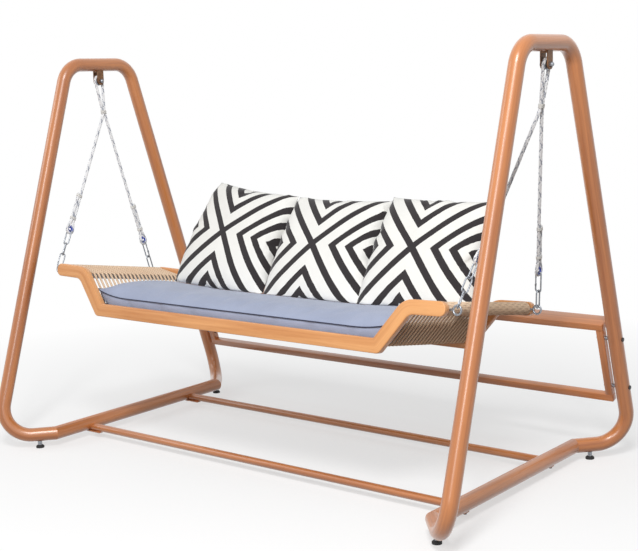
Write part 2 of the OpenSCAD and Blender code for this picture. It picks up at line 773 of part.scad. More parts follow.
module one_gate(i, slack) {
  color("#d5d8db") on_link(i, hook_index[i], slack) gate(chain_of(i)[hook_index[i]]);
}

module left_hooks() { mirrored(-1) hooks(closed_gap); }
module right_hooks() { hooks(open_gap); }
module left_gate_pins() { mirrored(-1) gate_pins(closed_gap); }
module right_gate_pins() { gate_pins(open_gap); }
module left_front_gate() { mirrored(-1) one_gate(0, closed_gap); }
module left_rear_gate() { mirrored(-1) one_gate(1, closed_gap); }
module right_front_gate() { one_gate(0, open_gap); }
module right_rear_gate() { one_gate(1, open_gap); }

// Seat frame
module in_seat() {
  translate(seat_org) rotate([-seat_tilt, 0, 0]) children();
}

// Points of an outline whose corner i is rounded to radius r[i]
function rounded(p, r, steps = 8) = [
  for (i = [0 : len(p) - 1])
    let (
      n = len(p),
      into = unit(p[i] - p[(i + n - 1) % n]),
      out = unit(p[(i + 1) % n] - p[i]),
      turn = acos(max(-1, min(1, into * out))),
      side = sign(into[0] * out[1] - into[1] * out[0]),
      reach = r[i] * tan(turn / 2),
      middle = p[i] - into * reach + r[i] * side * [-into[1], into[0]]
    )
    if (r[i] <= 0) p[i]
    else for (k = [0 : steps]) middle + r[i] * spoke(out, side, turn * (1 - k / steps))
];
// Unit spoke from a fillet's middle to its rim, back by an angle from where the outline leaves the fillet
function spoke(out, side, back) =
  let (last = side * [out[1], -out[0]], a = -side * back)
  [last[0] * cos(a) - last[1] * sin(a), last[0] * sin(a) + last[1] * cos(a)];

// Corner of the seat board's edge, at the distance half the board's width from its middle line
function edge_corner(a, b, c, off) =
  let (
    d1 = unit(b - a), d2 = unit(c - b),
    n1 = [-d1[1], d1[0]], n2 = [-d2[1], d2[0]],
    m = unit(n1 + n2)
  )
  b + m * off / (m * n1);

function board_outline() =
  let (
    h = rail_w / 2,
    mid = [0, slope_low[1]],
    upper = [
      [tip_mid[0] + h, tip_mid[1] + h], edge_corner(slope_low, slope_top, tip_mid, h),
      edge_corner(mid, slope_low, slope_top, h)
    ],
    lower = [
      edge_corner(mid, slope_low, slope_top, -h), edge_corner(slope_low, slope_top, tip_mid, -h),
      [tip_mid[0] + h, tip_mid[1] - h]
    ],
    flip = function (v) [-v[0], v[1]],
    right = concat(lower, upper),
    left = [for (i = [len(right) - 1 : -1 : 0]) flip(right[i])]
  )
  concat(right, left);

function board_radii() =
  let (
    tip = rail_w / 2 - 3,
    right = [outer_corner_r, lower_bend_r, tip, tip, upper_bend_r, inner_corner_r]
  )
  concat(right, [for (i = [5 : -1 : 0]) right[i]]);

module seat_board(y) {
  in_seat() translate([0, y + rail_t, 0]) rotate([90, 0, 0])
    linear_extrude(rail_t) polygon(rounded(board_outline(), board_radii()));
}

module front_rail() { color(rail_wood) seat_board(0); }
module rear_rail() { color(rail_wood) seat_board(seat_d - rail_t); }

// Tubes from the front rail to the rear rail
module cross_tube(x, z, d, wall) {
  length = seat_d - 2 * rail_t - 2 * weld_gap;
  in_seat() translate([x, rail_t + weld_gap, z]) rotate([-90, 0, 0]) linear_extrude(length) ring(d / 2, wall);
}

module end_bar() {
  difference() {
    cross_tube(end_bar_x, eye_z, end_bar_d, end_bar_wall);
    in_seat() for (y = eye_y) translate([end_bar_x, y, eye_z]) rotate([0, 90, 0])
      cylinder(h = 2 * end_bar_d, d = screw_d + 2 * fit_gap, center = true, $fn = smooth);
  }
}

module left_end_bar() { color("#b9bcc0") mirrored(-1) end_bar(); }
module right_end_bar() { color("#b9bcc0") end_bar(); }
module arm_corner_bars() {
  color("#b9bcc0") for (s = [-1, 1]) cross_tube(s * arm_bar[0], arm_bar[1], bar_d, bar_wall);
}
module seat_corner_bars() {
  color("#b9bcc0") for (s = [-1, 1]) cross_tube(s * corner_bar[0], corner_bar[1], bar_d, bar_wall);
}
module seat_bearers() {
  color("#b9bcc0") for (s = [-1, 1]) cross_tube(s * bearer_x, bearer_z, bar_d, bar_wall);
}

// Eyebolts through the end bars, with washers and nuts
module at_eyes() {
  for (s = [-1, 1]) mirrored(s) in_seat() for (y = eye_y) translate([0, y, eye_z]) children();
}
washer_out = end_bar_x + end_bar_d / 2 + 2;
nut_in = end_bar_x - end_bar_d / 2 - weld_gap;

module eyebolts() {
  color(steel) at_eyes() {
    translate([eye_x, 0, 0]) rotate([90, 0, 0])
      rotate_extrude($fn = smooth) translate([eye_r, 0]) circle(d = eye_wire, $fn = 24);
    translate([nut_in - 12, 0, 0]) rotate([0, 90, 0])
      cylinder(h = eye_x - eye_r - nut_in + 12, d = screw_d, $fn = 24);
  }
}

module eyebolt_washers() {
  color(steel) at_eyes() for (x = [end_bar_x + end_bar_d / 2 - 1, end_bar_x - end_bar_d / 2 - 2])
    difference() {
      translate([x, 0, 0]) rotate([0, 90, 0]) cylinder(h = 3, d = screw_d * 2, $fn = smooth);
      rotate([0, 90, 0]) cylinder(h = 4 * eye_x, d = screw_d + 2 * run_gap, center = true, $fn = 24);
      translate([end_bar_x, 0, 0]) rotate([90, 0, 0])
        cylinder(h = 4 * screw_d, d = end_bar_d + 2 * weld_gap, center = true, $fn = 96);
    }
}

module eyebolt_nuts() {
  color(steel) at_eyes() translate([nut_in - 2 - 6.5 - run_gap, 0, 0]) rotate([0, 90, 0]) difference() {
    cylinder(h = 6.5, d = screw_d * 1.8, $fn = 6);
    translate([0, 0, -1]) cylinder(h = 10, d = screw_d + 2 * run_gap, $fn = 24);
  }
}

// Cord belt: circles [x, z, radius, side], side +1 where the cord turns to the left round the circle
function belt_heading(a, b) =
  let (d = [b[0] - a[0], b[1] - a[1]])
  atan2(d[1], d[0]) - asin((b[3] * b[2] - a[3] * a[2]) / norm(d));

// Rim points of one circle of the belt, set out so that the chords just touch the circle
function rim(c, from, turn, steps) = [
  for (k = [0 : steps - 1])
    let (a = from + turn * (k + 0.5) / steps, out = c[2] / cos(turn / steps / 2))
    [c[0] + out * c[3] * sin(a), c[1] - out * c[3] * cos(a)]
];

// One pass over the seat towards +x: from under the left end bar to over the right one
function seat_circles() = [
  [-end_bar_x, eye_z, end_ring, 1], [-arm_bar[0], arm_bar[1], bar_ring, -1],
  [-corner_bar[0], corner_bar[1], bar_ring, 1], [corner_bar[0], corner_bar[1], bar_ring, 1],
  [arm_bar[0], arm_bar[1], bar_ring, -1], [end_bar_x, eye_z, end_ring, -1]
];

function pass_points(circles) =
  let (n = len(circles), h = [for (i = [0 : n - 2]) belt_heading(circles[i], circles[i + 1])])
  [for (i = [1 : 1 : n - 2]) each rim(circles[i], h[i - 1], h[i] - h[i - 1], bend_steps)];

// The wrap at the end of a pass: over the bar, round it and away beneath, one and a half turns
function wrap_points(circles) =
  let (
    n = len(circles),
    first = belt_heading(circles[0], circles[1]),
    last = belt_heading(circles[n - 2], circles[n - 1])
  )
  rim(circles[n - 1], last, -540 - first - last, wrap_steps);

// The whole cord as [x, y, z]: passes step along y by the pitch, and wraps climb evenly between them
function cord_route(circles, passes, first, pitch) =
  let (
    across = pass_points(circles),
    round = wrap_points(circles),
    line = [for (i = [0 : passes - 1])
      let (s = i % 2 == 0 ? 1 : -1, y = first + i * pitch)
      each concat(
        [for (q = across) [s * q[0], y, q[1]]],
        i == passes - 1
          ? []
          : [for (k = [0 : wrap_steps - 1]) [s * round[k][0], y + pitch * (k + 0.5) / wrap_steps, round[k][1]]]
      )]
  )
  line;

// A tube of few sides swept along a route; each ring lies in the plane that halves the bend there
module swept(route, r, sides) {
  n = len(route);
  head = [for (i = [0 : n - 1]) unit(
    i == 0 ? route[1] - route[0]
    : i == n - 1 ? route[n - 1] - route[n - 2]
    : unit(route[i] - route[i - 1]) + unit(route[i + 1] - route[i])
  )];
  stretch = [for (i = [0 : n - 1])
    (i == 0 || i == n - 1) ? 1 : 1 / (unit(route[i] - route[i - 1]) * head[i])];
  rings = [for (i = [0 : n - 1])
    let (
      flat = unit(cross(head[i], [0, 1, 0])),
      up = cross(flat, head[i])
    )
    for (k = [0 : sides - 1])
      let (a = 360 * k / sides)
      route[i] + r * (flat * cos(a) * stretch[i] + up * sin(a))];
  faces = concat(
    [for (i = [0 : n - 2]) for (k = [0 : sides - 1]) each [
      [i * sides + k, (i + 1) * sides + k, (i + 1) * sides + (k + 1) % sides],
      [i * sides + k, (i + 1) * sides + (k + 1) % sides, i * sides + (k + 1) % sides]
    ]],
    [for (k = [1 : sides - 2]) [0, k, k + 1]],
    [for (k = [1 : sides - 2]) [(n - 1) * sides, (n - 1) * sides + k + 1, (n - 1) * sides + k]]
  );
  polyhedron(rings, faces);
}

seat_line = cord_route(seat_circles(), seat_passes, first_pass_y, pass_pitch);
seat_route = concat(
  [lerp([-end_bar_x, first_pass_y, eye_z - end_ring], seat_line[0], 0.3)],
  seat_line,
  [lerp([-end_bar_x, seat_d - first_pass_y, eye_z + end_ring], seat_line[len(seat_line) - 1], 0.3)]
);

module seat_cord() {
  color("#d9c7a5") in_seat() swept(seat_route, cord_r, 6);
}

// Backrest: a bent tube that stands on the rear rail's bottom run, wound across with the same cord
back_foot_z = slope_low[1] + rail_w / 2;

module back_frame() {
  p = [
    [-back_side_x, back_foot_z - 20], [-back_side_x, back_h],
    [back_side_x, back_h], [back_side_x, back_foot_z - 20]
  ];
  color("#b9bcc0") in_seat() difference() {
    bent_rod([for (q = p) [q[0], back_y, q[1]]], [0, 60, 60, 0], back_tube_d / 2, back_tube_wall);
    translate([-seat_w, 0, back_foot_z + weld_gap - 200]) cube([2 * seat_w, 2 * seat_d, 200]);
  }
}

back_circles = [
  [-back_side_x, back_y, back_ring, 1], [back_side_x, back_y, back_ring, -1]
];
function back_route() =
  let (
    h = belt_heading(back_circles[0], back_circles[1]),
    round = rim(back_circles[1], h, -540 - 2 * h, wrap_steps),
    line = [for (i = [0 : back_passes - 2])
      let (s = i % 2 == 0 ? 1 : -1, z = back_first_z + i * back_pitch)
      for (k = [0 : wrap_steps - 1]) [s * round[k][0], round[k][1], z + back_pitch * (k + 0.5) / wrap_steps]],
    last = back_first_z + (back_passes - 1) * back_pitch
  )
  concat(
    [[-back_side_x + 60, lerp(back_y - back_ring, back_y + back_ring, 0.04), back_first_z]],
    line,
    [[-back_side_x + 60, lerp(back_y + back_ring, back_y - back_ring, 0.04), last]]
  );

module back_cord() {
  r = back_route();
  flat = [for (q = r) [q[0], q[2], q[1]]];
  color("#d9c7a5") in_seat() mirror([0, 1, -1]) swept(flat, cord_r, 6);
}

// Least gap between two stretches of a cord, on the points of its route
function least_gap(route, skip) =
  min([for (i = [0 : len(route) - 1]) for (j = [i + skip : 1 : len(route) - 1]) norm(route[i] - route[j])]) - cord_d;
echo(seat_cord_least_gap = least_gap(seat_route, wrap_steps / 2),
  back_cord_least_gap = least_gap(back_route(), wrap_steps / 2));

// Closed soft solid: top and bottom grids over u and v from -1 to 1 that share their rim
module soft_solid(nu, nv, top, bottom) {
  cols = nu + 1;
  rows = nv + 1;
  u = function (i) -cos(180 * i / nu);
  v = function (j) -cos(180 * j / nv);
  upper = [for (i = [0 : nu]) for (j = [0 : nv]) top(u(i), v(j))];
  lower = [for (i = [0 : nu]) for (j = [0 : nv]) bottom(u(i), v(j))];
  base = len(upper);
  at = function (i, j) i * rows + j;
  quads = function (o, flip) [for (i = [0 : nu - 1]) for (j = [0 : nv - 1])
    let (a = o + at(i, j), b = o + at(i + 1, j), c = o + at(i + 1, j + 1), d = o + at(i, j + 1))
    each (flip ? [[a, d, c], [a, c, b]] : [[a, b, c], [a, c, d]])];
  edge = concat(
    [for (i = [0 : nu - 1]) at(i, 0)], [for (j = [0 : nv - 1]) at(nu, j)],
    [for (i = [nu : -1 : 1]) at(i, nv)], [for (j = [nv : -1 : 1]) at(0, j)]
  );
  wall = [for (k = [0 : len(edge) - 1])
    let (a = edge[k], b = edge[(k + 1) % len(edge)])
    each [[a, base + b, base + a], [a, b, base + b]]];
  polyhedron(concat(upper, lower), concat(quads(0, true), quads(base, false), wall));
}

// Seat cushion: a box cushion with a band round it, crowned on top, whose ends climb the sloping sides
cushion_low = cord_top_z + cushion_gap;
corner_pow = 13;
function plan_shrink(u) = pow(1 - pow(abs(u), corner_pow), 1 / corner_pow);
// Height of the cords, the corner bars and the slopes under the cushion, at distance x from the middle
function floor_at(x) =
  let (
    bar_top = corner_bar[1] + bar_d / 2 + cushion_gap,
    slope_z = slope_low[1] + (x - slope_low[0] + (cord_r + cushion_gap) / sin(slope_turn)) * tan(slope_turn)
      + 2 * cushion_gap,
    ramp = (x - (corner_bar[0] - bar_d * 1.1)) / (bar_d * 0.5)
  )
  x < corner_bar[0] - bar_d * 1.1 ? cushion_low
  : max(slope_z, lerp(cushion_low, bar_top, min(1, ramp)));

function cushion_at(u, v) =
  let (half_y = (cushion_y[1] - cushion_y[0]) / 2)
  [u * cushion_half, (cushion_y[0] + cushion_y[1]) / 2 + v * half_y * max(0.55, plan_shrink(u))];
function piping_z(x) =
  let (start = slope_low[0] - 100)
  cushion_low + cushion_band + (x > start ? cushion_climb * pow((x - start) / (cushion_half - start), 2) : 0);

module seat_cushion() {
  color("#8f98b3") in_seat() soft_solid(
    28, 8,
    function (u, v)
      let (p = cushion_at(u, v), x = abs(p[0]))
      [p[0], p[1], piping_z(x) + cushion_crown * (1 - pow(abs(u), 8)) * pow(1 - v * v, 0.7)],
    function (u, v)
      let (p = cushion_at(u, v), x = abs(p[0]))
      [p[0], p[1], min(floor_at(x), piping_z(x) - 8)]
  );
}

// Loose pillow: square, with pinched corners and sides that draw in between them
module pillow(k) {
  draw_in = 0.05;
  half = [pillow_w / 2, pillow_h / 2];
  swell = function (u, v) pillow_t / 2 * pow((1 - pow(u, 2)) * (1 - pow(v, 2)), 0.45);
  place = function (u, v)
    [half[0] * u * (1 - draw_in * (1 - v * v)), half[1] * v * (1 - draw_in * (1 - u * u))];
  // A longer pillow stands higher on its lower edge, and a thicker one comes away from the backrest
  longer = (pillow_h - settled_h) / 2;
  thicker = (pillow_t - settled_t) / 2;
  mid_y = seat_d - pillow_front[k] + longer * sin(pillow_lean[k]) - thicker * cos(pillow_lean[k]);
  mid_z = cushion_low + cushion_band + cushion_crown + pillow_rise[k]
    + longer * cos(pillow_lean[k]) + thicker * sin(pillow_lean[k]);
  in_seat() translate([pillow_x[k], mid_y, mid_z])
    rotate([90 - pillow_lean[k], 0, 0]) rotate([0, 0, -pillow_roll[k]])
      soft_solid(
        10, 10,
        function (u, v) [place(u, v)[0], place(u, v)[1], swell(u, v) + 0.5],
        function (u, v) [place(u, v)[0], place(u, v)[1], -swell(u, v) - 0.5]
      );
}

module left_pillow() { color("#efeee6") pillow(0); }
module middle_pillow() { color("#efeee6") pillow(1); }
module right_pillow() { color("#efeee6") pillow(2); }

echo(pivot = pivot, seat_axis = [0, cos(seat_tilt), -sin(seat_tilt)], lean = lean,
  hold_front = from_seat([hold[0], eye_y[0], hold[1]]), hold_rear = from_seat([hold[0], eye_y[1], hold[1]]));

left_hoop();
right_hoop();
left_bottom_rail();
right_bottom_rail();
front_stretcher();
rear_stretcher();
stretcher_bolts();
foot_pads();
foot_studs();
panel_top_board();
panel_lower_bar();
left_panel_post();
right_panel_post();
panel_bolts();
panel_spacers();
bolt_caps();
left_bracket();
right_bracket();
hanger_bolts();
hanger_nuts();
left_bush();
right_bush();
left_rope();
left_top_thimble();
left_thimbles();
left_bindings();
left_links();
left_hooks();
left_gate_pins();
right_rope();
right_top_thimble();
right_thimbles();
right_bindings();
right_links();
right_hooks();
right_gate_pins();
left_front_gate();
left_rear_gate();
right_front_gate();
right_rear_gate();
front_rail();
rear_rail();
left_end_bar();
right_end_bar();
arm_corner_bars();
seat_corner_bars();
seat_bearers();
seat_cord();
back_frame();
back_cord();
eyebolts();
eyebolt_washers();
eyebolt_nuts();
seat_cushion();
left_pillow();
middle_pillow();
right_pillow();
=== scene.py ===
import json
from math import asin, atan, atan2, cos, hypot, pi, radians, sin, sqrt, tan, tanh

import bmesh
import bpy
from mathutils import Matrix, Vector, noise
from mathutils.bvhtree import BVHTree

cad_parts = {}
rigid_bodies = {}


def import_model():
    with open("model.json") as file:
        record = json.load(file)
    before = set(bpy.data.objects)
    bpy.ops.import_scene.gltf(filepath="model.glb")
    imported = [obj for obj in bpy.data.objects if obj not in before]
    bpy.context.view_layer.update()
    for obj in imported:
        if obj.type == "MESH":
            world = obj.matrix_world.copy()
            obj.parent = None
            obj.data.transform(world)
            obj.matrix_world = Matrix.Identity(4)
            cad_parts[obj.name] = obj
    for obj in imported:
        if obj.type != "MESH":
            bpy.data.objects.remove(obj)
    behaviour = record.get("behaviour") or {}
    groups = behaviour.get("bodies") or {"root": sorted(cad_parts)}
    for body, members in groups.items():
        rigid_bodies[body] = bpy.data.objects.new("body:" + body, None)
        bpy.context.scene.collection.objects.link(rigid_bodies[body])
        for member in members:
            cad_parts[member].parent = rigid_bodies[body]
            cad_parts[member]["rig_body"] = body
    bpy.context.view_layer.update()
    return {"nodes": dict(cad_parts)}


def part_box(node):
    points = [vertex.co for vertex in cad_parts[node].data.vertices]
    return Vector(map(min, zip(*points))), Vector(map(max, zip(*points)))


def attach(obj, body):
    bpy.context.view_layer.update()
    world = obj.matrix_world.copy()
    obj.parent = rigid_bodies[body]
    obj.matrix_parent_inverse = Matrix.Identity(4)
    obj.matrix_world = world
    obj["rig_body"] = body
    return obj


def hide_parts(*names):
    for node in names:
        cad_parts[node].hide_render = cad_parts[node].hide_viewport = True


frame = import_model()
nodes = frame["nodes"]
scene = bpy.context.scene
scene.view_settings.view_transform = "Standard"

# Viewpoint. The camera stands where the photograph was taken from: to the right of the seat and in
# front of it, at chest height, with the slight roll that the photograph has.
def shown(name, data):
    """A new object in the scene."""
    thing = bpy.data.objects.new(name, data)
    scene.collection.objects.link(thing)
    return thing


camera_place = Vector((3.32835, -3.99459, 1.58084))
camera_turn = radians(38.83)
camera_dip = radians(8.88)
camera_roll = radians(-1.88)
camera = shown("camera", bpy.data.cameras.new("camera"))
camera.data.lens = 70.6
camera.data.clip_end = 80
camera.matrix_world = (
    Matrix.Translation(camera_place)
    @ Matrix.Rotation(camera_turn, 4, "Z")
    @ Matrix.Rotation(pi / 2 - camera_dip, 4, "X")
    @ Matrix.Rotation(camera_roll, 4, "Z")
)
scene.camera = camera


# Studio. A pale floor that fades into a white surround, one large soft lamp high on the right, a tall
# strip in front that draws a line of light along the tubes, a weak lamp on the left, and a plain sky.
def feed(tree, socket, value):
    """Links an input to another node's output, or gives it a plain value."""
    if isinstance(value, bpy.types.NodeSocket):
        tree.links.new(value, socket)
    else:
        socket.default_value = value


def add(tree, kind, **values):
    """A shader node. A name with a capital is an input, to be set or linked; any other is a setting."""
    node = tree.nodes.new("ShaderNode" + kind)
    for name, value in values.items():
        if name[0].isupper():
            feed(tree, node.inputs[name.replace("_", " ")], value)
        else:
            setattr(node, name, value)
    return node


def maths(tree, operation, *values):
    """The result of a Math node on numbers and sockets."""
    node = add(tree, "Math", operation=operation)
    for socket, value in zip(node.inputs, values):
        feed(tree, socket, value)
    return node.outputs[0]


def weighted(tree, first, first_weight, second, second_weight):
    """The sum of two sockets, each times its weight."""
    parts = [maths(tree, "MULTIPLY", *two) for two in ((first, first_weight), (second, second_weight))]
    return maths(tree, "ADD", *parts)


def mixed(tree, share, first, second):
    """First colour turning to second as share goes from 0 to 1."""
    node = add(tree, "Mix", data_type="RGBA")
    for socket, value in zip((node.inputs[0], node.inputs[6], node.inputs[7]), (share, first, second)):
        feed(tree, socket, value)
    return node.outputs[2]


def noise_at(tree, place, scale, detail, **more):
    """A cloudy value from 0 to 1 at a place, with so many waves in a unit."""
    return add(tree, "TexNoise", Vector=place, Scale=scale, Detail=detail, **more).outputs[0]


def ramp(tree, value, low, high, to_low=0.0, to_high=1.0):
    """Value spread from its range low to high onto to_low to to_high, and held at the ends."""
    spread = add(tree, "MapRange", Value=value, From_Min=low, From_Max=high, To_Min=to_low, To_Max=to_high)
    return spread.outputs[0]


def colour(red, green, blue):
    """A colour given as a screen shows it, from 0 to 255, in the linear values that shaders use."""
    shares = [c / 255 for c in (red, green, blue)]
    return tuple(((c + 0.055) / 1.055) ** 2.4 if c > 0.04045 else c / 12.92 for c in shares) + (1,)


def seen_directly(tree):
    """1 for rays that the camera, a mirror or glass sends, and 0 for those that carry light."""
    path = add(tree, "LightPath")
    mirrored = maths(tree, "MAXIMUM", path.outputs["Is Glossy Ray"], path.outputs["Is Transmission Ray"])
    return maths(tree, "MAXIMUM", path.outputs["Is Camera Ray"], mirrored)


plain_white = (1, 1, 1, 1)
bounced_floor = (0.2, 0.16, 0.14, 1)
floor_r = 40
fade_from, fade_to = 1.4, 3.4
fade_start = 0.55

floor_mesh = bpy.data.meshes.new("floor")
shape = bmesh.new()
bmesh.ops.create_circle(shape, cap_ends=True, segments=96, radius=floor_r)
shape.to_mesh(floor_mesh)
shape.free()
floor = shown("floor", floor_mesh)

floor_paint = bpy.data.materials.new("floor_paint")
floor_paint.use_nodes = True
tree = floor_paint.node_tree
diffuse = tree.nodes["Principled BSDF"]
floor_colour = mixed(tree, seen_directly(tree), bounced_floor, plain_white)
tree.links.new(floor_colour, diffuse.inputs["Base Color"])
diffuse.inputs["Roughness"].default_value = 0.9
diffuse.inputs["Specular IOR Level"].default_value = 0.1
place = add(tree, "TexCoord").outputs["Object"]
from_middle = add(tree, "VectorMath", operation="LENGTH", Vector=place).outputs["Value"]
far = ramp(tree, from_middle, fade_from, fade_to, fade_start, 1)
glow = add(tree, "Emission", Strength=1.0)
cover = add(tree, "MixShader", Fac=maths(tree, "MULTIPLY", far, seen_directly(tree)))
tree.links.new(diffuse.outputs[0], cover.inputs[1])
tree.links.new(glow.outputs[0], cover.inputs[2])
tree.links.new(cover.outputs[0], tree.nodes["Material Output"].inputs["Surface"])
floor_mesh.materials.append(floor_paint)

world = bpy.data.worlds.new("studio")
scene.world = world
world.use_nodes = True
tree = world.node_tree
tree.nodes["Background"].inputs["Strength"].default_value = 0.37
tree.nodes["Background"].inputs["Color"].default_value = (0.97, 0.99, 1, 1)
white = add(tree, "Background", Color=plain_white, Strength=1.0)
surround = add(tree, "MixShader", Fac=seen_directly(tree))
tree.links.new(tree.nodes["Background"].outputs[0], surround.inputs[1])
tree.links.new(white.outputs[0], surround.inputs[2])
tree.links.new(surround.outputs[0], tree.nodes["World Output"].inputs["Surface"])


def softbox(name, place, target, width, height, power):
    """A flat lamp at a place that faces a target."""
    lamp = bpy.data.lights.new(name, "AREA")
    lamp.shape = "RECTANGLE"
    lamp.size = width
    lamp.size_y = height
    lamp.energy = power
    box = shown(name, lamp)
    facing = (Vector(target) - Vector(place)).to_track_quat("-Z", "Y").to_matrix().to_4x4()
    box.matrix_world = Matrix.Translation(place) @ facing


softbox("key_lamp", (2.9, -4.1, 5.9), (0, 0, 0.7), 1.5, 1.5, 262)
softbox("strip_lamp", (2.3, -5.2, 2.9), (0.4, 0, 0.7), 0.9, 2.8, 110)
softbox("fill_lamp", (-4.5, -3.2, 3.4), (0, 0, 0.7), 2.4, 2.4, 45)


# End frames. Each is one aluminium tube, bent cold at four corners and cut to a mitre at both feet,
# with a printed teak film baked onto it under a clear coat. The grain follows the tube round its bends.
def bent_path(corners, radii, step=radians(6), count=None):
    """Points along straight runs whose inner corners are bent to radii, by a step of angle or a count."""
    path = [corners[0]]
    for before, corner, after, radius in zip(corners, corners[1:], corners[2:], radii):
        into = (corner - before).normalized()
        out = (after - corner).normalized()
        turn = into.angle(out)
        inward = (out - into * into.dot(out)).normalized()
        middle = corner - into * radius * tan(turn / 2) + inward * radius
        steps = count or max(1, round(turn / step))
        for k in range(steps + 1):
            a = turn * k / steps
            path.append(middle + radius * (into * sin(a) - inward * cos(a)))
    path.append(corners[-1])
    return path


def set_lay(mesh, places):
    """Stores for each vertex the place along and across its piece that grain, braid and weave follow."""
    lay = mesh.attributes.new("lay", "FLOAT_VECTOR", "POINT")
    lay.data.foreach_set("vector", [c for p in places for c in p])


def smoothed(mesh, degrees):
    """Shades a mesh smooth, apart from edges sharper than an angle."""
    mesh.shade_smooth()
    mesh.set_sharp_from_angle(angle=radians(degrees))


def tube(name, paths, radius, sides=12, ring=False):
    """Round bars along paths as one mesh with closed ends, or rings. Sides is an even count from 4."""
    curve = bpy.data.curves.new(name, "CURVE")
    curve.dimensions = "3D"
    curve.twist_mode = "MINIMUM"
    curve.bevel_depth = radius
    curve.bevel_resolution = (sides - 4) // 2
    places = []
    for path in paths:
        spline = curve.splines.new("POLY")
        spline.points.add(len(path) - 1)
        spline.points.foreach_set("co", [c for p in path for c in (*p, 1)])
        spline.use_cyclic_u = ring
        along = 0
        for k, point in enumerate(path):
            along += (point - path[k - 1]).length if k else 0
            for side in range(sides):
                a = 2 * pi * side / sides
                places.append((along, radius * cos(a), radius * sin(a)))
    rod = shown(name, curve)
    mesh = bpy.data.meshes.new_from_object(rod.evaluated_get(bpy.context.evaluated_depsgraph_get()))
    bpy.data.objects.remove(rod)
    bpy.data.curves.remove(curve)
    mesh.name = name
    set_lay(mesh, places)
    if not ring:
        shape = bmesh.new()
        shape.from_mesh(mesh)
        bmesh.ops.holes_fill(shape, edges=[e for e in shape.edges if e.is_boundary], sides=0)
        shape.to_mesh(mesh)
        shape.free()
    smoothed(mesh, 50)
    return mesh


def put(mesh, stands_for, material, body=None):
    """Makes the mesh a piece of the swing that stands for CAD nodes, rides where they do and has a finish."""
    piece = shown(mesh.name, mesh)
    mesh.materials.clear()
    mesh.materials.append(material)
    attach(piece, body or nodes[stands_for[0]]["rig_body"])
    if stands_for:
        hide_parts(*stands_for)
    return piece


def new_group(name, inputs, outputs):
    """An empty shader group with its sockets, its tree and the nodes at its two ends."""
    kinds = {"v": "NodeSocketVector", "c": "NodeSocketColor", "f": "NodeSocketFloat"}
    group = bpy.data.node_groups.new(name, "ShaderNodeTree")
    for way, sockets in (("INPUT", inputs), ("OUTPUT", outputs)):
        for socket, kind in sockets.items():
            group.interface.new_socket(name=socket, in_out=way, socket_type=kinds[kind])
    return group, group.nodes.new("NodeGroupInput").outputs, group.nodes.new("NodeGroupOutput").inputs


def finish(name, bump_depth=0.0005, **plain):
    """A new material with plain values on its shader, and its tree, shader and bump node."""
    material = bpy.data.materials.new(name)
    material.use_nodes = True
    tree = material.node_tree
    shader = tree.nodes["Principled BSDF"]
    for socket, value in plain.items():
        shader.inputs[socket.replace("_", " ")].default_value = value
    bump = add(tree, "Bump", Distance=bump_depth, Strength=1.0)
    feed(tree, shader.inputs["Normal"], bump.outputs[0])
    return material, tree, shader, bump


wood_grain, given, made = new_group(
    "wood_grain",
    {"Vector": "v", "Light": "c", "Dark": "c", "Contrast": "f"},
    {"Color": "c", "Roughness": "f", "Height": "f"},
)


def stretched(along, across):
    """The grain's place, scaled along and across the piece to the waves in a metre."""
    node = add(wood_grain, "VectorMath", operation="MULTIPLY", Vector=given["Vector"])
    node.inputs[1].default_value = (along, across, across)
    return node.outputs[0]


tree = wood_grain
streaks = noise_at(tree, stretched(1.6, 52), 1, 6, Roughness=0.62, Distortion=0.5)
bands = noise_at(tree, stretched(0.7, 11), 1, 2, Roughness=0.5, Distortion=0.8)
pores = ramp(tree, noise_at(tree, stretched(14, 520), 1, 1), 0.6, 0.72)
tone = ramp(tree, weighted(tree, streaks, 0.6, bands, 0.4), 0.36, 0.62)
darkened = maths(tree, "MULTIPLY", given["Contrast"], maths(tree, "SUBTRACT", 1, tone))
without_pores = maths(tree, "SUBTRACT", 1, darkened)
light_share = maths(tree, "SUBTRACT", without_pores, maths(tree, "MULTIPLY", pores, 0.18))
feed(tree, made["Color"], mixed(tree, light_share, given["Dark"], given["Light"]))
feed(tree, made["Roughness"], ramp(tree, tone, 0, 1, 0.4, 0.27))
feed(tree, made["Height"], maths(tree, "SUBTRACT", maths(tree, "MULTIPLY", tone, 0.4), pores))


def grained(name, light, dark, contrast, coat, depth):
    """A wood-look film or a lacquered wood whose grain runs along the piece."""
    material, tree, shader, bump = finish(name, depth, Coat_Weight=coat, Coat_Roughness=0.28)
    lay = add(tree, "Attribute", attribute_name="lay").outputs["Vector"]
    light, dark = colour(*light), colour(*dark)
    grain = add(
        tree, "Group", node_tree=wood_grain, Vector=lay, Light=light, Dark=dark, Contrast=contrast
    ).outputs
    feed(tree, shader.inputs["Base Color"], grain["Color"])
    feed(tree, shader.inputs["Roughness"], grain["Roughness"])
    feed(tree, bump.inputs["Height"], grain["Height"])
    return material


teak_film = grained("teak_film", (212, 135, 76), (148, 82, 44), 0.7, 0.9, 0.00002)

mm = 0.001
tube_r = 30 * mm
hoop_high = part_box("right_hoop")[1]
plane_x = hoop_high.x - tube_r
bar_z = hoop_high.z - tube_r
rail_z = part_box("right_bottom_rail")[0].z + tube_r
leg_splay = radians(17.9)
top_half = 186 * mm
low_half = top_half + tan(leg_splay) * (bar_z - rail_z)
foot_run = 250 * mm
foot_turn = radians(40.6)
top_bend_r = 110 * mm
foot_bend_r = 120 * mm
mitre_x = plane_x - foot_run * sin(foot_turn)
mitre_y = low_half - foot_run * cos(foot_turn)
tube_sides = 40


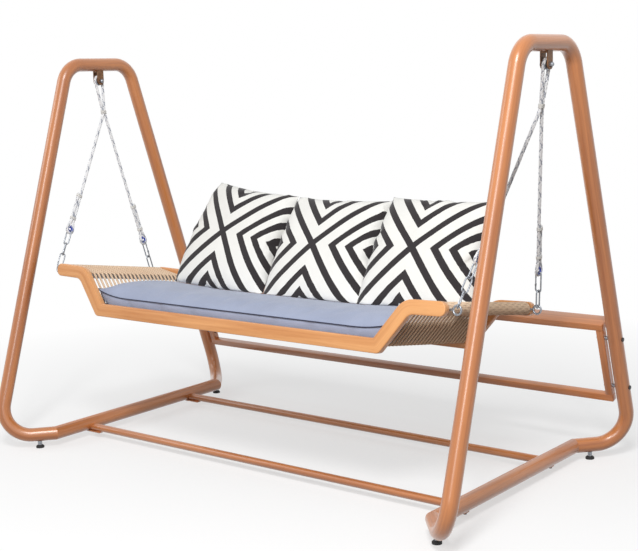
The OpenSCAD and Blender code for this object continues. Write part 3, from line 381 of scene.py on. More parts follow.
def cut_off(mesh, at, away, reach):
    """Removes the part of a closed mesh beyond a plane, within reach of a point of it, and closes the cut."""
    shape = bmesh.new()
    shape.from_mesh(mesh)
    near = [f for f in shape.faces if (f.calc_center_median() - at).length < reach]
    around = set(v for f in near for v in f.verts) | set(e for f in near for e in f.edges) | set(near)
    bmesh.ops.bisect_plane(shape, geom=list(around), plane_co=at, plane_no=away, clear_outer=True)
    bmesh.ops.holes_fill(shape, edges=[e for e in shape.edges if e.is_boundary], sides=0)
    shape.to_mesh(mesh)
    shape.free()


for side, name in ((-1, "left_hoop"), (1, "right_hoop")):
    over = foot_run + 2 * tube_r
    inner_x = side * (plane_x - over * sin(foot_turn))
    inner_y = low_half - over * cos(foot_turn)
    front = [
        Vector((inner_x, -inner_y, rail_z)),
        Vector((side * plane_x, -low_half, rail_z)),
        Vector((side * plane_x, -top_half, bar_z)),
    ]
    corners = front + [Vector((c.x, -c.y, c.z)) for c in reversed(front)]
    bends = [foot_bend_r, top_bend_r, top_bend_r, foot_bend_r]
    hoop = tube(name + "_tube", [bent_path(corners, bends, radians(4))], tube_r, tube_sides)
    for end in (-1, 1):
        across = Vector((-side * sin(foot_turn / 2), -end * cos(foot_turn / 2), 0))
        cut_off(hoop, Vector((side * mitre_x, end * mitre_y, rail_z)), across, 4 * tube_r)
    smoothed(hoop, 40)
    put(hoop, [name], teak_film)


# Bottom rails, stretchers and the panel between the rear legs. They are tubes with the same teak film,
# the rails with two shallow grooves, the panel's boards and posts of square tube with eased edges.
def eased_copy(name, node, grain_along, ease=0.0):
    """A merged copy of a CAD node's mesh, with its sharp edges eased and its grain laid along a direction."""
    mesh = nodes[node].data.copy()
    mesh.name = name
    shape = bmesh.new()
    shape.from_mesh(mesh)
    bmesh.ops.remove_doubles(shape, verts=shape.verts, dist=0.01 * mm)
    bmesh.ops.dissolve_limit(shape, angle_limit=radians(0.5), verts=shape.verts, edges=shape.edges)
    if ease:
        sharp = [e for e in shape.edges if e.is_manifold and e.calc_face_angle() > radians(50)]
        bmesh.ops.bevel(shape, geom=sharp, offset=ease, affect="EDGES", segments=2, profile=0.5, material=-1)
    shape.to_mesh(mesh)
    shape.free()
    for attribute in [a for a in mesh.attributes if a.name == "custom_normal"]:
        mesh.attributes.remove(attribute)
    along = Vector(grain_along).normalized()
    side = along.cross(Vector((0, 0, 1)) if abs(along.z) < 0.7 else Vector((1, 0, 0))).normalized()
    up = side.cross(along)
    set_lay(mesh, [(v.co.dot(along), v.co.dot(side), v.co.dot(up)) for v in mesh.vertices])
    smoothed(mesh, 35)
    return mesh


across_x = (1, 0, 0)
up_leg = (0, -sin(leg_splay), cos(leg_splay))
film_pieces = {
    "left_bottom_rail": ((0, 1, 0), 0),
    "right_bottom_rail": ((0, 1, 0), 0),
    "front_stretcher": (across_x, 0),
    "rear_stretcher": (across_x, 0),
    "panel_top_board": (across_x, 2.5 * mm),
    "panel_lower_bar": (across_x, 2 * mm),
    "left_panel_post": (up_leg, 1.5 * mm),
    "right_panel_post": (up_leg, 1.5 * mm),
}
for node, (along, ease) in film_pieces.items():
    put(eased_copy(node + "_film", node, along, ease), [node], teak_film)


# Fasteners, feet, bars and hanging hardware. They are zinc-plated, bronzed or blackened steel with a soft
# mottle, black rubber and plastic for the feet and caps, and nylon for the bushes and blue thimbles.
mottle, given, made = new_group(
    "mottle",
    {"Scale": "f", "Light": "c", "Dark": "c", "Smooth": "f", "Rough": "f"},
    {"Color": "c", "Roughness": "f", "Height": "f"},
)
tree = mottle
spot = add(tree, "TexCoord").outputs["Object"]
cloudy = noise_at(tree, spot, given["Scale"], 5, Roughness=0.6)
fine = noise_at(tree, spot, maths(tree, "MULTIPLY", given["Scale"], 9), 3)
share = ramp(tree, weighted(tree, cloudy, 0.7, fine, 0.3), 0.35, 0.65)
feed(tree, made["Color"], mixed(tree, share, given["Dark"], given["Light"]))
spread = maths(tree, "SUBTRACT", given["Rough"], given["Smooth"])
feed(tree, made["Roughness"], maths(tree, "ADD", given["Smooth"], maths(tree, "MULTIPLY", fine, spread)))
feed(tree, made["Height"], fine)


def mottled(name, light, dark, smooth, rough, scale, depth, **plain):
    """A plated, painted or moulded finish with a fine mottle."""
    material, tree, shader, bump = finish(name, depth, **plain)
    light, dark = colour(*light), colour(*dark)
    skin = add(
        tree, "Group", node_tree=mottle, Scale=scale, Light=light, Dark=dark, Smooth=smooth, Rough=rough
    ).outputs
    feed(tree, shader.inputs["Base Color"], skin["Color"])
    feed(tree, shader.inputs["Roughness"], skin["Roughness"])
    feed(tree, bump.inputs["Height"], skin["Height"])
    return material


def both(*names):
    """The names of the left and the right one of each piece."""
    return [side + name for name in names for side in ("left_", "right_")]


kept_nodes = (
    (mottled("zinc_plate", (176, 180, 186), (114, 119, 126), 0.24, 0.46, 180, 0.00004, Metallic=0.9), [
        "foot_studs", "panel_spacers", "hanger_bolts", "hanger_nuts",
        "eyebolts", "eyebolt_washers", "eyebolt_nuts",
        *both("top_thimble", "links", "hooks", "gate_pins", "front_gate", "rear_gate"),
    ]),
    (mottled("bar_steel", (178, 180, 183), (140, 142, 146), 0.32, 0.5, 60, 0.00005, Metallic=0.8), [
        *both("end_bar"), "arm_corner_bars", "seat_corner_bars", "seat_bearers", "back_frame",
    ]),
    (mottled("black_steel", (58, 58, 60), (34, 34, 36), 0.35, 0.6, 150, 0.00005, Metallic=0.5),
     ["stretcher_bolts", "panel_bolts"]),
    (mottled("bronze_paint", (140, 100, 66), (96, 64, 40), 0.3, 0.5, 90, 0.00006, Metallic=0.3),
     both("bracket")),
    (mottled("foot_rubber", (46, 46, 47), (28, 28, 29), 0.6, 0.8, 300, 0.0001), ["foot_pads"]),
    (mottled("cap_plastic", (32, 32, 33), (20, 20, 21), 0.3, 0.5, 200, 0.00004), ["bolt_caps"]),
    (mottled("nylon", (232, 229, 220), (214, 210, 198), 0.35, 0.5, 120, 0.00004), both("bush")),
    (mottled("blue_nylon", (42, 78, 204), (28, 56, 164), 0.25, 0.42, 160, 0.00004), both("thimbles")),
)
for material, names in kept_nodes:
    for name in names:
        nodes[name].data.materials.clear()
        nodes[name].data.materials.append(material)


# Ropes. One white rope a side is braided from eight strands, two of them with a grey tracer. It goes
# over the hanger's thimble, parts into two legs and turns back round a blue thimble at each foot.
seat_tilt = radians(9.2)
seat_front = 442 * mm
arm_z = 793 * mm
seat_w = 2038 * mm
seat_d = 640 * mm
rail_w = 54 * mm
rail_t = 28 * mm
rope_r = 6 * mm
wire_r = 3 * mm
fit_gap = 0.3 * mm
hang_gap = 0.8 * mm
closed_gap = 0.5 * mm
open_gap = 1.2 * mm
in_seat = Matrix.Translation((0, -seat_front, arm_z)) @ Matrix.Rotation(-seat_tilt, 4, "X")
end_bar_x = seat_w / 2 - rail_w / 2
end_bar_r = 15 * mm
eye_x = end_bar_x + end_bar_r + 38 * mm
eye_z = -3 * mm
eye_y = (36 * mm, seat_d - 36 * mm)
eye_hold = 12 * mm
pivot = Vector((plane_x, 0, bar_z - 75 * mm))
pivot_in_seat = in_seat.inverted() @ pivot
lean = atan((pivot_in_seat.x - eye_x) / (pivot_in_seat.z - eye_z))
hold_z = eye_z + eye_hold * cos(lean)
plane_h = (pivot_in_seat.z - hold_z) / cos(lean)
leg_foot = [Vector((y - pivot_in_seat.y, -plane_h)) for y in eye_y]
binding_drop = 148 * mm
binding_at = Vector((
    binding_drop * sin(seat_tilt), -binding_drop * cos(lean) * cos(seat_tilt)
))
binding_l = 26 * mm
strand = rope_r + 0.2 * mm
throat = 40 * mm
tail_l = 140 * mm
loop_r = 16 * mm
bush_r = 8.05 * mm
thimble_w = 14 * mm
lean_most = lean + radians(3)
thimble_bore = bush_r / cos(lean_most) + thimble_w / 2 * tan(lean_most) + fit_gap
top_loop_r = thimble_bore + 5.5 * mm + rope_r
chains = ((70 * mm, 58 * mm, 66 * mm), (82 * mm, 72 * mm))
thimble_hole = 7.5 * mm
rope_plane = Matrix.Translation(pivot) @ Matrix.Rotation(-seat_tilt, 4, "X") @ Matrix.Rotation(lean, 4, "Y")


def in_plane(origin, up, across, along):
    """A point of the rope's plane, from an origin in it, across a direction and along it."""
    return Vector((0, origin.x + across * up.y + along * up.x, origin.y - across * up.x + along * up.y))


binding_up = (-binding_at).normalized()


def at_binding(across, along):
    """A point of the rope's plane, from the middle of the binding where the rope parts."""
    return in_plane(binding_at, binding_up, across, along)


def leg_up(i):
    """Heading of a leg, whose standing strand runs straight to its own side of the binding."""
    side = 1 if i == 0 else -1
    top = at_binding(-side * strand, -binding_l / 2)
    way = Vector((top.y, top.z)) - leg_foot[i]
    tilt = atan2(way.x, way.y) - side * asin(strand / way.length)
    return Vector((sin(tilt), cos(tilt)))


def chain_length(i, slack):
    """Distance from the eye up to the middle of the lower thimble."""
    links = chains[i]
    hooked = (len(links) - 1) * (2 * wire_r + fit_gap)
    return thimble_hole - 2 * wire_r - 2 * hang_gap + sum(links) - hooked - slack


def loop_corner(radius, distance):
    """Half width of the corners of a loop whose two strands meet at a distance from its middle."""
    tilt = asin(radius / hypot(strand, distance)) - atan(strand / distance)
    return strand + (distance + radius) * tan(tilt)


def rope_path(slack):
    """The rope's middle line in its own plane, from the end of one tail to the end of the other."""
    def on_leg(i, across, along):
        return in_plane(leg_foot[i], leg_up(i), across, chain_length(i, slack) + along)

    low = loop_corner(loop_r, throat)
    high = loop_corner(top_loop_r, binding_at.length - binding_l / 2)
    crown = binding_at.length + top_loop_r
    corners = [
        on_leg(0, -strand, throat + tail_l), on_leg(0, -strand, throat), on_leg(0, -low, -loop_r),
        on_leg(0, low, -loop_r), on_leg(0, strand, throat),
        at_binding(-strand, -binding_l / 2), at_binding(-strand, binding_l / 2), at_binding(-high, crown),
        at_binding(high, crown), at_binding(strand, binding_l / 2), at_binding(strand, -binding_l / 2),
        on_leg(1, -strand, throat), on_leg(1, -low, -loop_r), on_leg(1, low, -loop_r),
        on_leg(1, strand, throat), on_leg(1, strand, throat + tail_l),
    ]
    bend = 24 * mm
    foot_bends = [bend, loop_r, loop_r, bend]
    return bent_path(corners, foot_bends + [bend, bend, top_loop_r, top_loop_r, bend, bend] + foot_bends)


def even_steps(path, step):
    """The path's points at an even spacing."""
    lengths = [0]
    for a, b in zip(path, path[1:]):
        lengths.append(lengths[-1] + (b - a).length)
    count = round(lengths[-1] / step)
    points, k = [], 0
    for i in range(count + 1):
        d = min(lengths[-1] * i / count, lengths[-1] - 1e-9)
        while lengths[k + 1] <= d:
            k += 1
        points.append(path[k].lerp(path[k + 1], (d - lengths[k]) / (lengths[k + 1] - lengths[k])))
    return points


def cord_surface(name, light, dark, tracer, depth, plaits):
    """A woven cord's finish. The plait follows the piece: metres along it and its place in the round."""
    material, tree, shader, bump = finish(name, depth, Roughness=0.85, Sheen_Weight=0.25)
    lay = add(tree, "Attribute", attribute_name="lay").outputs["Vector"]
    parts = add(tree, "SeparateXYZ", Vector=lay).outputs
    angle = maths(tree, "ARCTAN2", parts[2], parts[1])
    climb = maths(tree, "MULTIPLY", parts[0], plaits)
    waves = [
        maths(tree, "SINE", maths(tree, "ADD", climb, maths(tree, "MULTIPLY", angle, way))) for way in (4, -4)
    ]
    crest = maths(tree, "MAXIMUM", *waves)
    fibre = noise_at(tree, lay, 900, 3)
    height = weighted(tree, crest, 0.5, fibre, 0.35)
    # Painted shade: the tone follows the plait's crests, so the grooves between the strands take the dark
    # colour; the fibre noise and the stain are the cord's own unevenness.
    tone = ramp(tree, maths(tree, "ADD", maths(tree, "MULTIPLY", crest, 0.25), fibre), 0.1, 0.8)
    shade = mixed(tree, tone, colour(*dark), colour(*light))
    stain = noise_at(tree, add(tree, "TexCoord").outputs["Object"], 5, 3)
    shade = mixed(tree, ramp(tree, stain, 0.45, 0.75, 0, 0.5), shade, colour(*tracer))
    feed(tree, shader.inputs["Base Color"], shade)
    feed(tree, bump.inputs["Height"], height)
    return material


rope_white = cord_surface("rope_white", (250, 250, 250), (212, 214, 218), (234, 235, 236), 0.0002, 900)
rope_grey = cord_surface("rope_grey", (180, 184, 194), (136, 142, 154), (166, 171, 180), 0.0002, 900)

strands = 8
tracer_strands = (1, 4)
core_r = 4.5 * mm
strand_r = 2.6 * mm
braid_r = 3.9 * mm
braid_wave = 0.5 * mm
braid_pitch = 62 * mm
braid_step = 3.4 * mm


def braid(middle, k):
    """One strand of the braid, winding left or right round the middle line, over and under the others."""
    way = 1 if k % 2 else -1
    phase = 2 * pi * (k // 2) / (strands / 2)
    across = None
    points = []
    for i, point in enumerate(middle):
        head = (middle[min(i + 1, len(middle) - 1)] - middle[max(i - 1, 0)]).normalized()
        if across is None:
            across = head.cross(Vector((1, 0, 0))).normalized()
        across = (across - head * across.dot(head)).normalized()
        side = head.cross(across)
        turn = 2 * pi * i * braid_step / braid_pitch
        a = way * turn + phase
        wave = cos(strands / 2 * turn + (0 if way > 0 else pi))
        radius = braid_r + braid_wave * wave
        points.append(point + radius * (across * cos(a) + side * sin(a)))
    return points


mirror_x = Matrix.Scale(-1, 4, Vector((1, 0, 0)))
rope_sides = (("left", mirror_x @ rope_plane, closed_gap), ("right", rope_plane, open_gap))
for name, place, slack in rope_sides:
    middle = [place @ p for p in even_steps(rope_path(slack), braid_step)]
    white_strands = [braid(middle, k) for k in range(strands) if k not in tracer_strands]
    grey_strands = [braid(middle, k) for k in tracer_strands]
    rope = tube(name + "_rope_braid", white_strands, strand_r, 6)
    put(rope, [name + "_rope"], rope_white)
    core = tube(name + "_rope_core", [middle], core_r, 8)
    put(core, [], rope_white, name + "_ropes")
    put(tube(name + "_rope_tracers", grey_strands, strand_r, 6), [], rope_grey, name + "_ropes")


# Whippings. Waxed twine is wound tightly round the two strands where the rope parts, above each lower
# loop and at each tail's end.
twine = cord_surface("twine", (246, 245, 241), (206, 205, 200), (232, 231, 227), 0.0001, 1400)
twine_r = 0.85 * mm
wind_r = rope_r + 1 * mm + twine_r
short_l = 12 * mm
twine_pitch = 2 * twine_r * 1.03
twine_steps = 20


def whipping(origin, up, length):
    """Twine wound round both strands at a place of the rope's plane."""
    steps = round(length / twine_pitch) * twine_steps
    points = []
    for k in range(steps + 1):
        a = 2 * pi * k / twine_steps
        x = wind_r * cos(a)
        y = wind_r * sin(a) + (strand if sin(a) > 0 else -strand) * min(1, abs(sin(a)) * 3)
        along = length * (k / steps - 0.5)
        point = in_plane(origin, up, y, along)
        point.x = x
        points.append(point)
    return points


for name, place, slack in rope_sides:
    windings = [whipping(binding_at, binding_up, binding_l * 0.6)]
    for i in (0, 1):
        up = leg_up(i)
        for height in (throat + 16 * mm, throat + tail_l - short_l):
            windings.append(whipping(leg_foot[i] + up * (chain_length(i, slack) + height), up, short_l))
    paths = [[place @ p for p in winding] for winding in windings]
    put(tube(name + "_whippings", paths, twine_r, 6), [name + "_bindings"], twine)


# Seat boards. The front and the rear rail are cut from lacquered plywood: level arms with rounded tips,
# sloping sides and a level bottom, 28 mm thick with eased edges.
arm_l = 163 * mm
slope_run = 120 * mm
well_depth = 152 * mm
tip_rise = 4 * mm
slope_top = Vector((end_bar_x - arm_l + rail_w / 2, -tip_rise - 3 * mm))
slope_low = Vector((slope_top.x - slope_run, slope_top.y - well_depth))
tip_mid = Vector((seat_w / 2 - rail_w / 2, -tip_rise + 1 * mm))
board_ease = 3 * mm
bend_points = 14


def edge_corner(a, b, c, off):
    """Corner of a board's edge at a distance off its middle line a, b, c."""
    n1 = Vector((a.y - b.y, b.x - a.x)).normalized()
    n2 = Vector((b.y - c.y, c.x - b.x)).normalized()
    m = (n1 + n2).normalized()
    return b + m * off / m.dot(n1)


def board_edge(off, bends):
    """One long edge of the right half of the board, from the middle to the tip, with its corners rounded."""
    start = Vector((0, slope_low.y))
    tip = Vector((tip_mid.x + rail_w / 2, tip_mid.y))
    corners = [
        start + Vector((0, off)), edge_corner(start, slope_low, slope_top, off),
        edge_corner(slope_low, slope_top, tip_mid, off), tip + Vector((0, off)), tip,
    ]
    return bent_path([c.to_3d() for c in corners], bends, count=bend_points)


def only_verts(found):
    """The vertices in what a bmesh operator gives back."""
    return [g for g in found["geom"] if isinstance(g, bmesh.types.BMVert)]


tip_bend = rail_w / 2 - 1 * mm
lower = board_edge(-rail_w / 2, [24 * mm, 45 * mm, tip_bend])
upper = board_edge(rail_w / 2, [14 * mm, 85 * mm, tip_bend])
pairs = list(zip(lower, upper))[:-1]
pairs = [(Vector((-a.x, a.y, 0)), Vector((-b.x, b.y, 0))) for a, b in reversed(pairs[1:])] + pairs
board_middle = [(a + b) / 2 for a, b in pairs]
board_along = [0]
for a, b in zip(board_middle, board_middle[1:]):
    board_along.append(board_along[-1] + (b - a).length)


def board_lay(x, z, depth):
    """Metres along the board and place across it of a point of the board."""
    best = None
    for k, (a, b) in enumerate(zip(board_middle, board_middle[1:])):
        way = b - a
        t = max(0, min(1, ((x - a.x) * way.x + (z - a.y) * way.y) / max(way.length_squared, 1e-12)))
        off = Vector((x - a.x - t * way.x, z - a.y - t * way.y))
        if best is None or off.length < best[0]:
            side = 1 if way.x * off.y - way.y * off.x > 0 else -1
            best = (off.length, board_along[k] + t * way.length, side * off.length)
    return best[1], best[2], depth


board_wood = grained("board_wood", (241, 176, 113), (198, 126, 66), 0.9, 0.35, 0.00012)
for name, near in (("front_rail", 0), ("rear_rail", seat_d - rail_t)):
    shape = bmesh.new()
    low_edge = [shape.verts.new((a.x, near, a.y)) for a, b in pairs]
    chain = [shape.edges.new(two) for two in zip(low_edge, low_edge[1:])]
    raised = only_verts(bmesh.ops.extrude_edge_only(shape, edges=chain))
    by_place = {(round(v.co.x, 6), round(v.co.z, 6)): v for v in raised}
    for a, b in pairs:
        by_place[(round(a.x, 6), round(a.y, 6))].co = (b.x, near, b.y)
    back = only_verts(bmesh.ops.extrude_face_region(shape, geom=shape.faces[:]))
    bmesh.ops.translate(shape, verts=back, vec=(0, rail_t, 0))
    bmesh.ops.remove_doubles(shape, verts=shape.verts, dist=0.01 * mm)
    bmesh.ops.recalc_face_normals(shape, faces=shape.faces)
    rims = [e for e in shape.edges if e.is_manifold and e.calc_face_angle() > radians(60)]
    bmesh.ops.bevel(shape, geom=rims, offset=board_ease, affect="EDGES", segments=3, profile=0.5, material=-1)
    mesh = bpy.data.meshes.new(name + "_board")
    shape.to_mesh(mesh)
    shape.free()
    set_lay(mesh, [board_lay(v.co.x, v.co.z, v.co.y) for v in mesh.vertices])
    mesh.transform(in_seat)
    smoothed(mesh, 35)
    put(mesh, [name], board_wood)


# Seat cord. One long cream cord runs to and fro over the whole seat and both arms, and is wound close
# round the end bars between one run and the next.
cord_r = 4.7 * mm
solid_cord_r = 5 * mm
bar_r = 10 * mm
bar_ring = bar_r + solid_cord_r + fit_gap
end_ring = end_bar_r + solid_cord_r + fit_gap
slope_way = (slope_top - slope_low).normalized()
slope_turn = atan2(slope_way.y, slope_way.x)
half_turn = slope_turn / 2
corner_bar = slope_low + bar_ring / cos(half_turn) * Vector((-sin(half_turn), cos(half_turn)))
arm_bar = slope_top + bar_ring / cos(half_turn) * Vector((sin(half_turn), -cos(half_turn)))
seat_passes = 24
first_pass_y = 48 * mm
pass_pitch = (seat_d - 2 * first_pass_y) / (seat_passes - 1)


def belt_heading(a, b):
    """Heading of the straight run between two rims, each given as x, z, radius and side."""
    way = Vector((b[0] - a[0], b[1] - a[1]))
    return atan2(way.y, way.x) - asin((b[3] * b[2] - a[3] * a[2]) / way.length)


def rim(circle, start, turn, steps):
    """Points round a rim, from the heading at which the cord meets it."""
    x, z, radius, side = circle
    places = [start + turn * (k + 0.5) / steps for k in range(steps)]
    return [(x + radius * side * sin(a), z - radius * side * cos(a)) for a in places]


turn_steps = 16
bend_steps = 6
tuck_steps = 3
tuck = 0.5
winding_pitch = 2 * cord_r * 1.01


def runs(rims):
    """The cord's runs over the rims, a pitch apart, with their ends tucked down into the close winding."""
    headings = [belt_heading(a, b) for a, b in zip(rims, rims[1:])]
    across = rim(rims[0], headings[0] + tuck, -tuck, tuck_steps)
    for circle, before, after in zip(rims[1:-1], headings, headings[1:]):
        across += rim(circle, before, after - before, bend_steps)
    across += rim(rims[-1], headings[-1], -tuck, tuck_steps)
    across = [(across[0][0], across[0][1] - cord_r)] + across + [(across[-1][0], across[-1][1] - cord_r)]
    return [[Vector((x, first_pass_y + i * pass_pitch, z)) for x, z in across] for i in range(seat_passes)]


def close_winding(x):
    """The cord wound close round an end bar, from one board to the other."""
    start, stop = rail_t + cord_r, seat_d - rail_t - cord_r
    count = round((stop - start) / winding_pitch) * turn_steps
    points = []
    for k in range(count + 1):
        a = 2 * pi * k / turn_steps
        y = start + (stop - start) * k / count
        points.append(Vector((x + end_ring * cos(a), y, eye_z + end_ring * sin(a))))
    return points


right_rims = [
    (corner_bar.x, corner_bar.y, bar_ring, 1), (arm_bar.x, arm_bar.y, bar_ring, -1),
    (end_bar_x, eye_z, end_ring, -1),
]
seat_rims = [(-x, z, radius, side) for x, z, radius, side in reversed(right_rims)] + right_rims
seat_lines = runs(seat_rims) + [close_winding(side * end_bar_x) for side in (-1, 1)]
# The cream cord's deep brown dark tone is painted shade: the cord itself is cream, and the brown that its
# grooves and fibre noise take makes it look shaded all over.
cream_cord = cord_surface("cream_cord", (252, 226, 194), (138, 88, 62), (222, 184, 148), 0.0003, 420)
seat_lines = [[in_seat @ p for p in line] for line in seat_lines]
put(tube("seat_cord_winding", seat_lines, cord_r, 10), ["seat_cord"], cream_cord)


# Backrest cord. The same cord is wound in ten passes across the bent tube on which the pillows lean,
# with one and a half turns round the tube's side at the end of each pass.
back_side_x = 700 * mm
back_y = seat_d - rail_t / 2
back_tube_r = 12.5 * mm
back_ring = back_tube_r + solid_cord_r + fit_gap
back_end = Vector((60 * mm - back_side_x, 0.92 * back_ring))
back_passes = 10
back_first_z = 66 * mm
back_top_z = 300 * mm - 62 * mm
back_pitch = (back_top_z - back_first_z) / (back_passes - 1)
back_rims = [(-back_side_x, back_y, back_ring, 1), (back_side_x, back_y, back_ring, -1)]
back_turn = belt_heading(*back_rims)
back_steps = 24
back_wrap = rim(back_rims[1], back_turn, -3 * pi - 2 * back_turn, back_steps)
back_line = [Vector((back_end.x, back_y - back_end.y, back_first_z))]
for i in range(back_passes - 1):
    side = 1 if i % 2 == 0 else -1
    for k, (x, y) in enumerate(back_wrap):
        z = back_first_z + back_pitch * (i + (k + 0.5) / back_steps)
        back_line.append(Vector((side * x, y, z)))
back_line.append(Vector((back_end.x, back_y + back_end.y, back_first_z + (back_passes - 1) * back_pitch)))
back_winding = tube("back_cord_winding", [[in_seat @ p for p in back_line]], cord_r, 10)
put(back_winding, ["back_cord"], cream_cord)


# Seat cushion. A box cushion of grey-blue cloth with navy piping along the top and the bottom of its side
# band. The filling domes the top, and its ends climb the sloping sides of the seat.
cushion_half = slope_top.x - 60 * mm
cushion_y = (rail_t + 8 * mm, seat_d - 44 * mm)
cushion_gap = 0.4 * mm
cushion_low = corner_bar.y - bar_ring + solid_cord_r + cushion_gap
cushion_band = 52 * mm
cushion_crown = 64 * mm
cushion_climb = 29 * mm
climb_from = slope_low.x - 130 * mm
cushion_swell = 7 * mm
swell_from, swell_run = 400 * mm, 250 * mm
end_draw = 0.03
band_tuck = 0.05
bar_reach = 2.2 * bar_r
slope_gap = 5.4 * mm


def piping_z(x):
    """Height of the top piping at a distance from the middle of the seat."""
    climb = max(0, (abs(x) - climb_from) / (cushion_half - climb_from))
    return cushion_low + cushion_band + cushion_climb * climb * climb


def floor_z(x):
    """Height of the cord, the corner bars and the slopes under the cushion."""
    x = abs(x)
    bar_from = corner_bar.x - bar_reach
    if x < bar_from:
        return cushion_low
    bar_top = corner_bar.y + bar_r + cushion_gap
    up_slope = x - slope_low.x + slope_gap / sin(slope_turn)
    on_slope = slope_low.y + up_slope * tan(slope_turn) + 2 * cushion_gap
    ramp_share = min(1, (x - bar_from) / bar_r)
    return min(max(on_slope, cushion_low + (bar_top - cushion_low) * ramp_share), piping_z(x) - 2 * mm)


def shell(name, columns, rows, band_rows, top, bottom):
    """A closed form: a top and a bottom grid over u and v, and a band of quads between their rims."""
    shape = bmesh.new()
    upper = [[shape.verts.new(top(u, v)) for v in rows] for u in columns]
    end, side = len(columns) - 1, len(rows) - 1
    rim_at = [(i, 0) for i in range(end)] + [(end, j) for j in range(side)]
    rim_at += [(i, side) for i in range(end, 0, -1)] + [(0, j) for j in range(side, 0, -1)]
    if band_rows:
        lower = [[shape.verts.new(bottom(u, v)) for v in rows] for u in columns]
    else:
        on_rim = set(rim_at)
        lower = [
            [upper[i][j] if (i, j) in on_rim else shape.verts.new(bottom(u, v)) for j, v in enumerate(rows)]
            for i, u in enumerate(columns)
        ]
    for i in range(end):
        for j in range(side):
            shape.faces.new((upper[i][j], upper[i + 1][j], upper[i + 1][j + 1], upper[i][j + 1]))
            shape.faces.new((lower[i][j], lower[i][j + 1], lower[i + 1][j + 1], lower[i + 1][j]))
    rims = [[upper[i][j] for i, j in rim_at]]
    if band_rows:
        last = [lower[i][j] for i, j in rim_at]
        for k in range(1, band_rows):
            rims.append([shape.verts.new(a.co.lerp(b.co, k / band_rows)) for a, b in zip(rims[0], last)])
        rims.append(last)
        for high, low in zip(rims, rims[1:]):
            for k in range(len(high)):
                n = (k + 1) % len(high)
                shape.faces.new((high[k], low[k], low[n], high[n]))
    shape.verts.index_update()
    numbers = [[v.index for v in rim] for rim in (rims[0], rims[-1])]
    mesh = bpy.data.meshes.new(name)
    shape.to_mesh(mesh)
    shape.free()
    return mesh, numbers


def inflate(mesh, pinned, grow, pressure, reach):
    """Blows a closed cloth form up with cloth physics, and moves no point farther than its reach."""
    form = shown(mesh.name + "_form", mesh)
    form.vertex_groups.new(name="seam").add(pinned, 1.0, "REPLACE")
    cloth = form.modifiers.new("cloth", "CLOTH")
    settings = cloth.settings
    settings.vertex_group_mass = "seam"
    settings.quality = 6
    settings.mass = 0.2
    settings.tension_stiffness = 25
    settings.compression_stiffness = 25
    settings.shear_stiffness = 8
    settings.bending_stiffness = 0.05
    settings.use_pressure = True
    settings.uniform_pressure_force = pressure
    settings.shrink_min = -grow
    settings.effector_weights.gravity = 0
    cloth.collision_settings.use_collision = False
    for k in range(1, 21):
        scene.frame_set(k)
    blown = form.evaluated_get(bpy.context.evaluated_depsgraph_get()).to_mesh()
    moved = [b.co - v.co for b, v in zip(blown.vertices, mesh.vertices)]
    scene.frame_set(1)
    bpy.data.objects.remove(form)
    for vertex, way in zip(mesh.vertices, moved):
        if way.length > 1e-9:
            vertex.co += way * (reach * tanh(way.length / reach) / way.length)


weave, given, made = new_group("weave", {"Vector": "v", "Pitch": "f"}, {"Height": "f", "Tone": "f"})
tree = weave
parts = add(tree, "SeparateXYZ", Vector=given["Vector"]).outputs
turns_per_metre = maths(tree, "DIVIDE", pi, given["Pitch"])
warp = maths(tree, "SINE", maths(tree, "MULTIPLY", parts[0], turns_per_metre))
over_side = maths(tree, "ADD", parts[1], parts[2])
weft = maths(tree, "SINE", maths(tree, "MULTIPLY", over_side, turns_per_metre))
slub = noise_at(tree, given["Vector"], 700, 4)
painted_fold_shade = noise_at(tree, given["Vector"], 9, 3)
# Painted shade: the cloth's tone is darker in the hollows between the threads' crossings and in broad
# blotches that stand for the shade of folds; the slub is the yarn's own unevenness.
knots = maths(tree, "MULTIPLY", warp, weft)
feed(tree, made["Height"], maths(tree, "ADD", maths(tree, "MULTIPLY", knots, 0.3), slub))
shade = maths(tree, "ADD", maths(tree, "MULTIPLY", knots, 0.12), weighted(tree, slub, 0.6, painted_fold_shade, 0.4))
feed(tree, made["Tone"], ramp(tree, shade, 0.25, 0.75))


def fabric(name, light, dark, pitch, depth, sheen):
    """A woven cloth's finish, its threads laid by the place that each point has in the flat cloth."""
    material, tree, shader, bump = finish(name, depth, Roughness=0.9, Sheen_Weight=sheen)
    lay = add(tree, "Attribute", attribute_name="lay").outputs["Vector"]
    threads = add(tree, "Group", node_tree=weave, Vector=lay, Pitch=pitch).outputs
    shade = mixed(tree, threads["Tone"], colour(*dark), colour(*light))
    feed(tree, shader.inputs["Base Color"], shade)
    feed(tree, bump.inputs["Height"], threads["Height"])
    return material, tree, shader, lay, threads


cushion_cloth = fabric("cushion_cloth", (170, 179, 203), (142, 151, 176), 1.1 * mm, 0.0003, 0.3)[0]
piping_cloth = fabric("piping_cloth", (44, 50, 78), (28, 32, 54), 0.9 * mm, 0.0002, 0.2)[0]
piping_r = 2.3 * mm


def cushion_at(u, v):
    """Place in plan of a point of the cushion, which is drawn in near its two ends."""
    shrink = 1 - end_draw * abs(u) ** 30
    front, rear = cushion_y
    return u * cushion_half, (front + rear) / 2 + v * (rear - front) / 2 * shrink


def cushion_top(u, v):
    """A point of the domed top, which stands fuller on both sides of the sat-in middle."""
    x, y = cushion_at(u, v)
    swell = max(0, min(1, (abs(x) - swell_from) / swell_run)) - 0.5
    crown = cushion_crown + 2 * swell * cushion_swell
    return x, y, piping_z(x) + crown * (1 - abs(u) ** 18) * (1 - v * v) ** 0.5


def cushion_bottom(u, v):
    """A point of the bottom, which lies on the cord and the corner bars."""
    x, y = cushion_at(u, v * (1 - band_tuck))
    return x, y, floor_z(x)


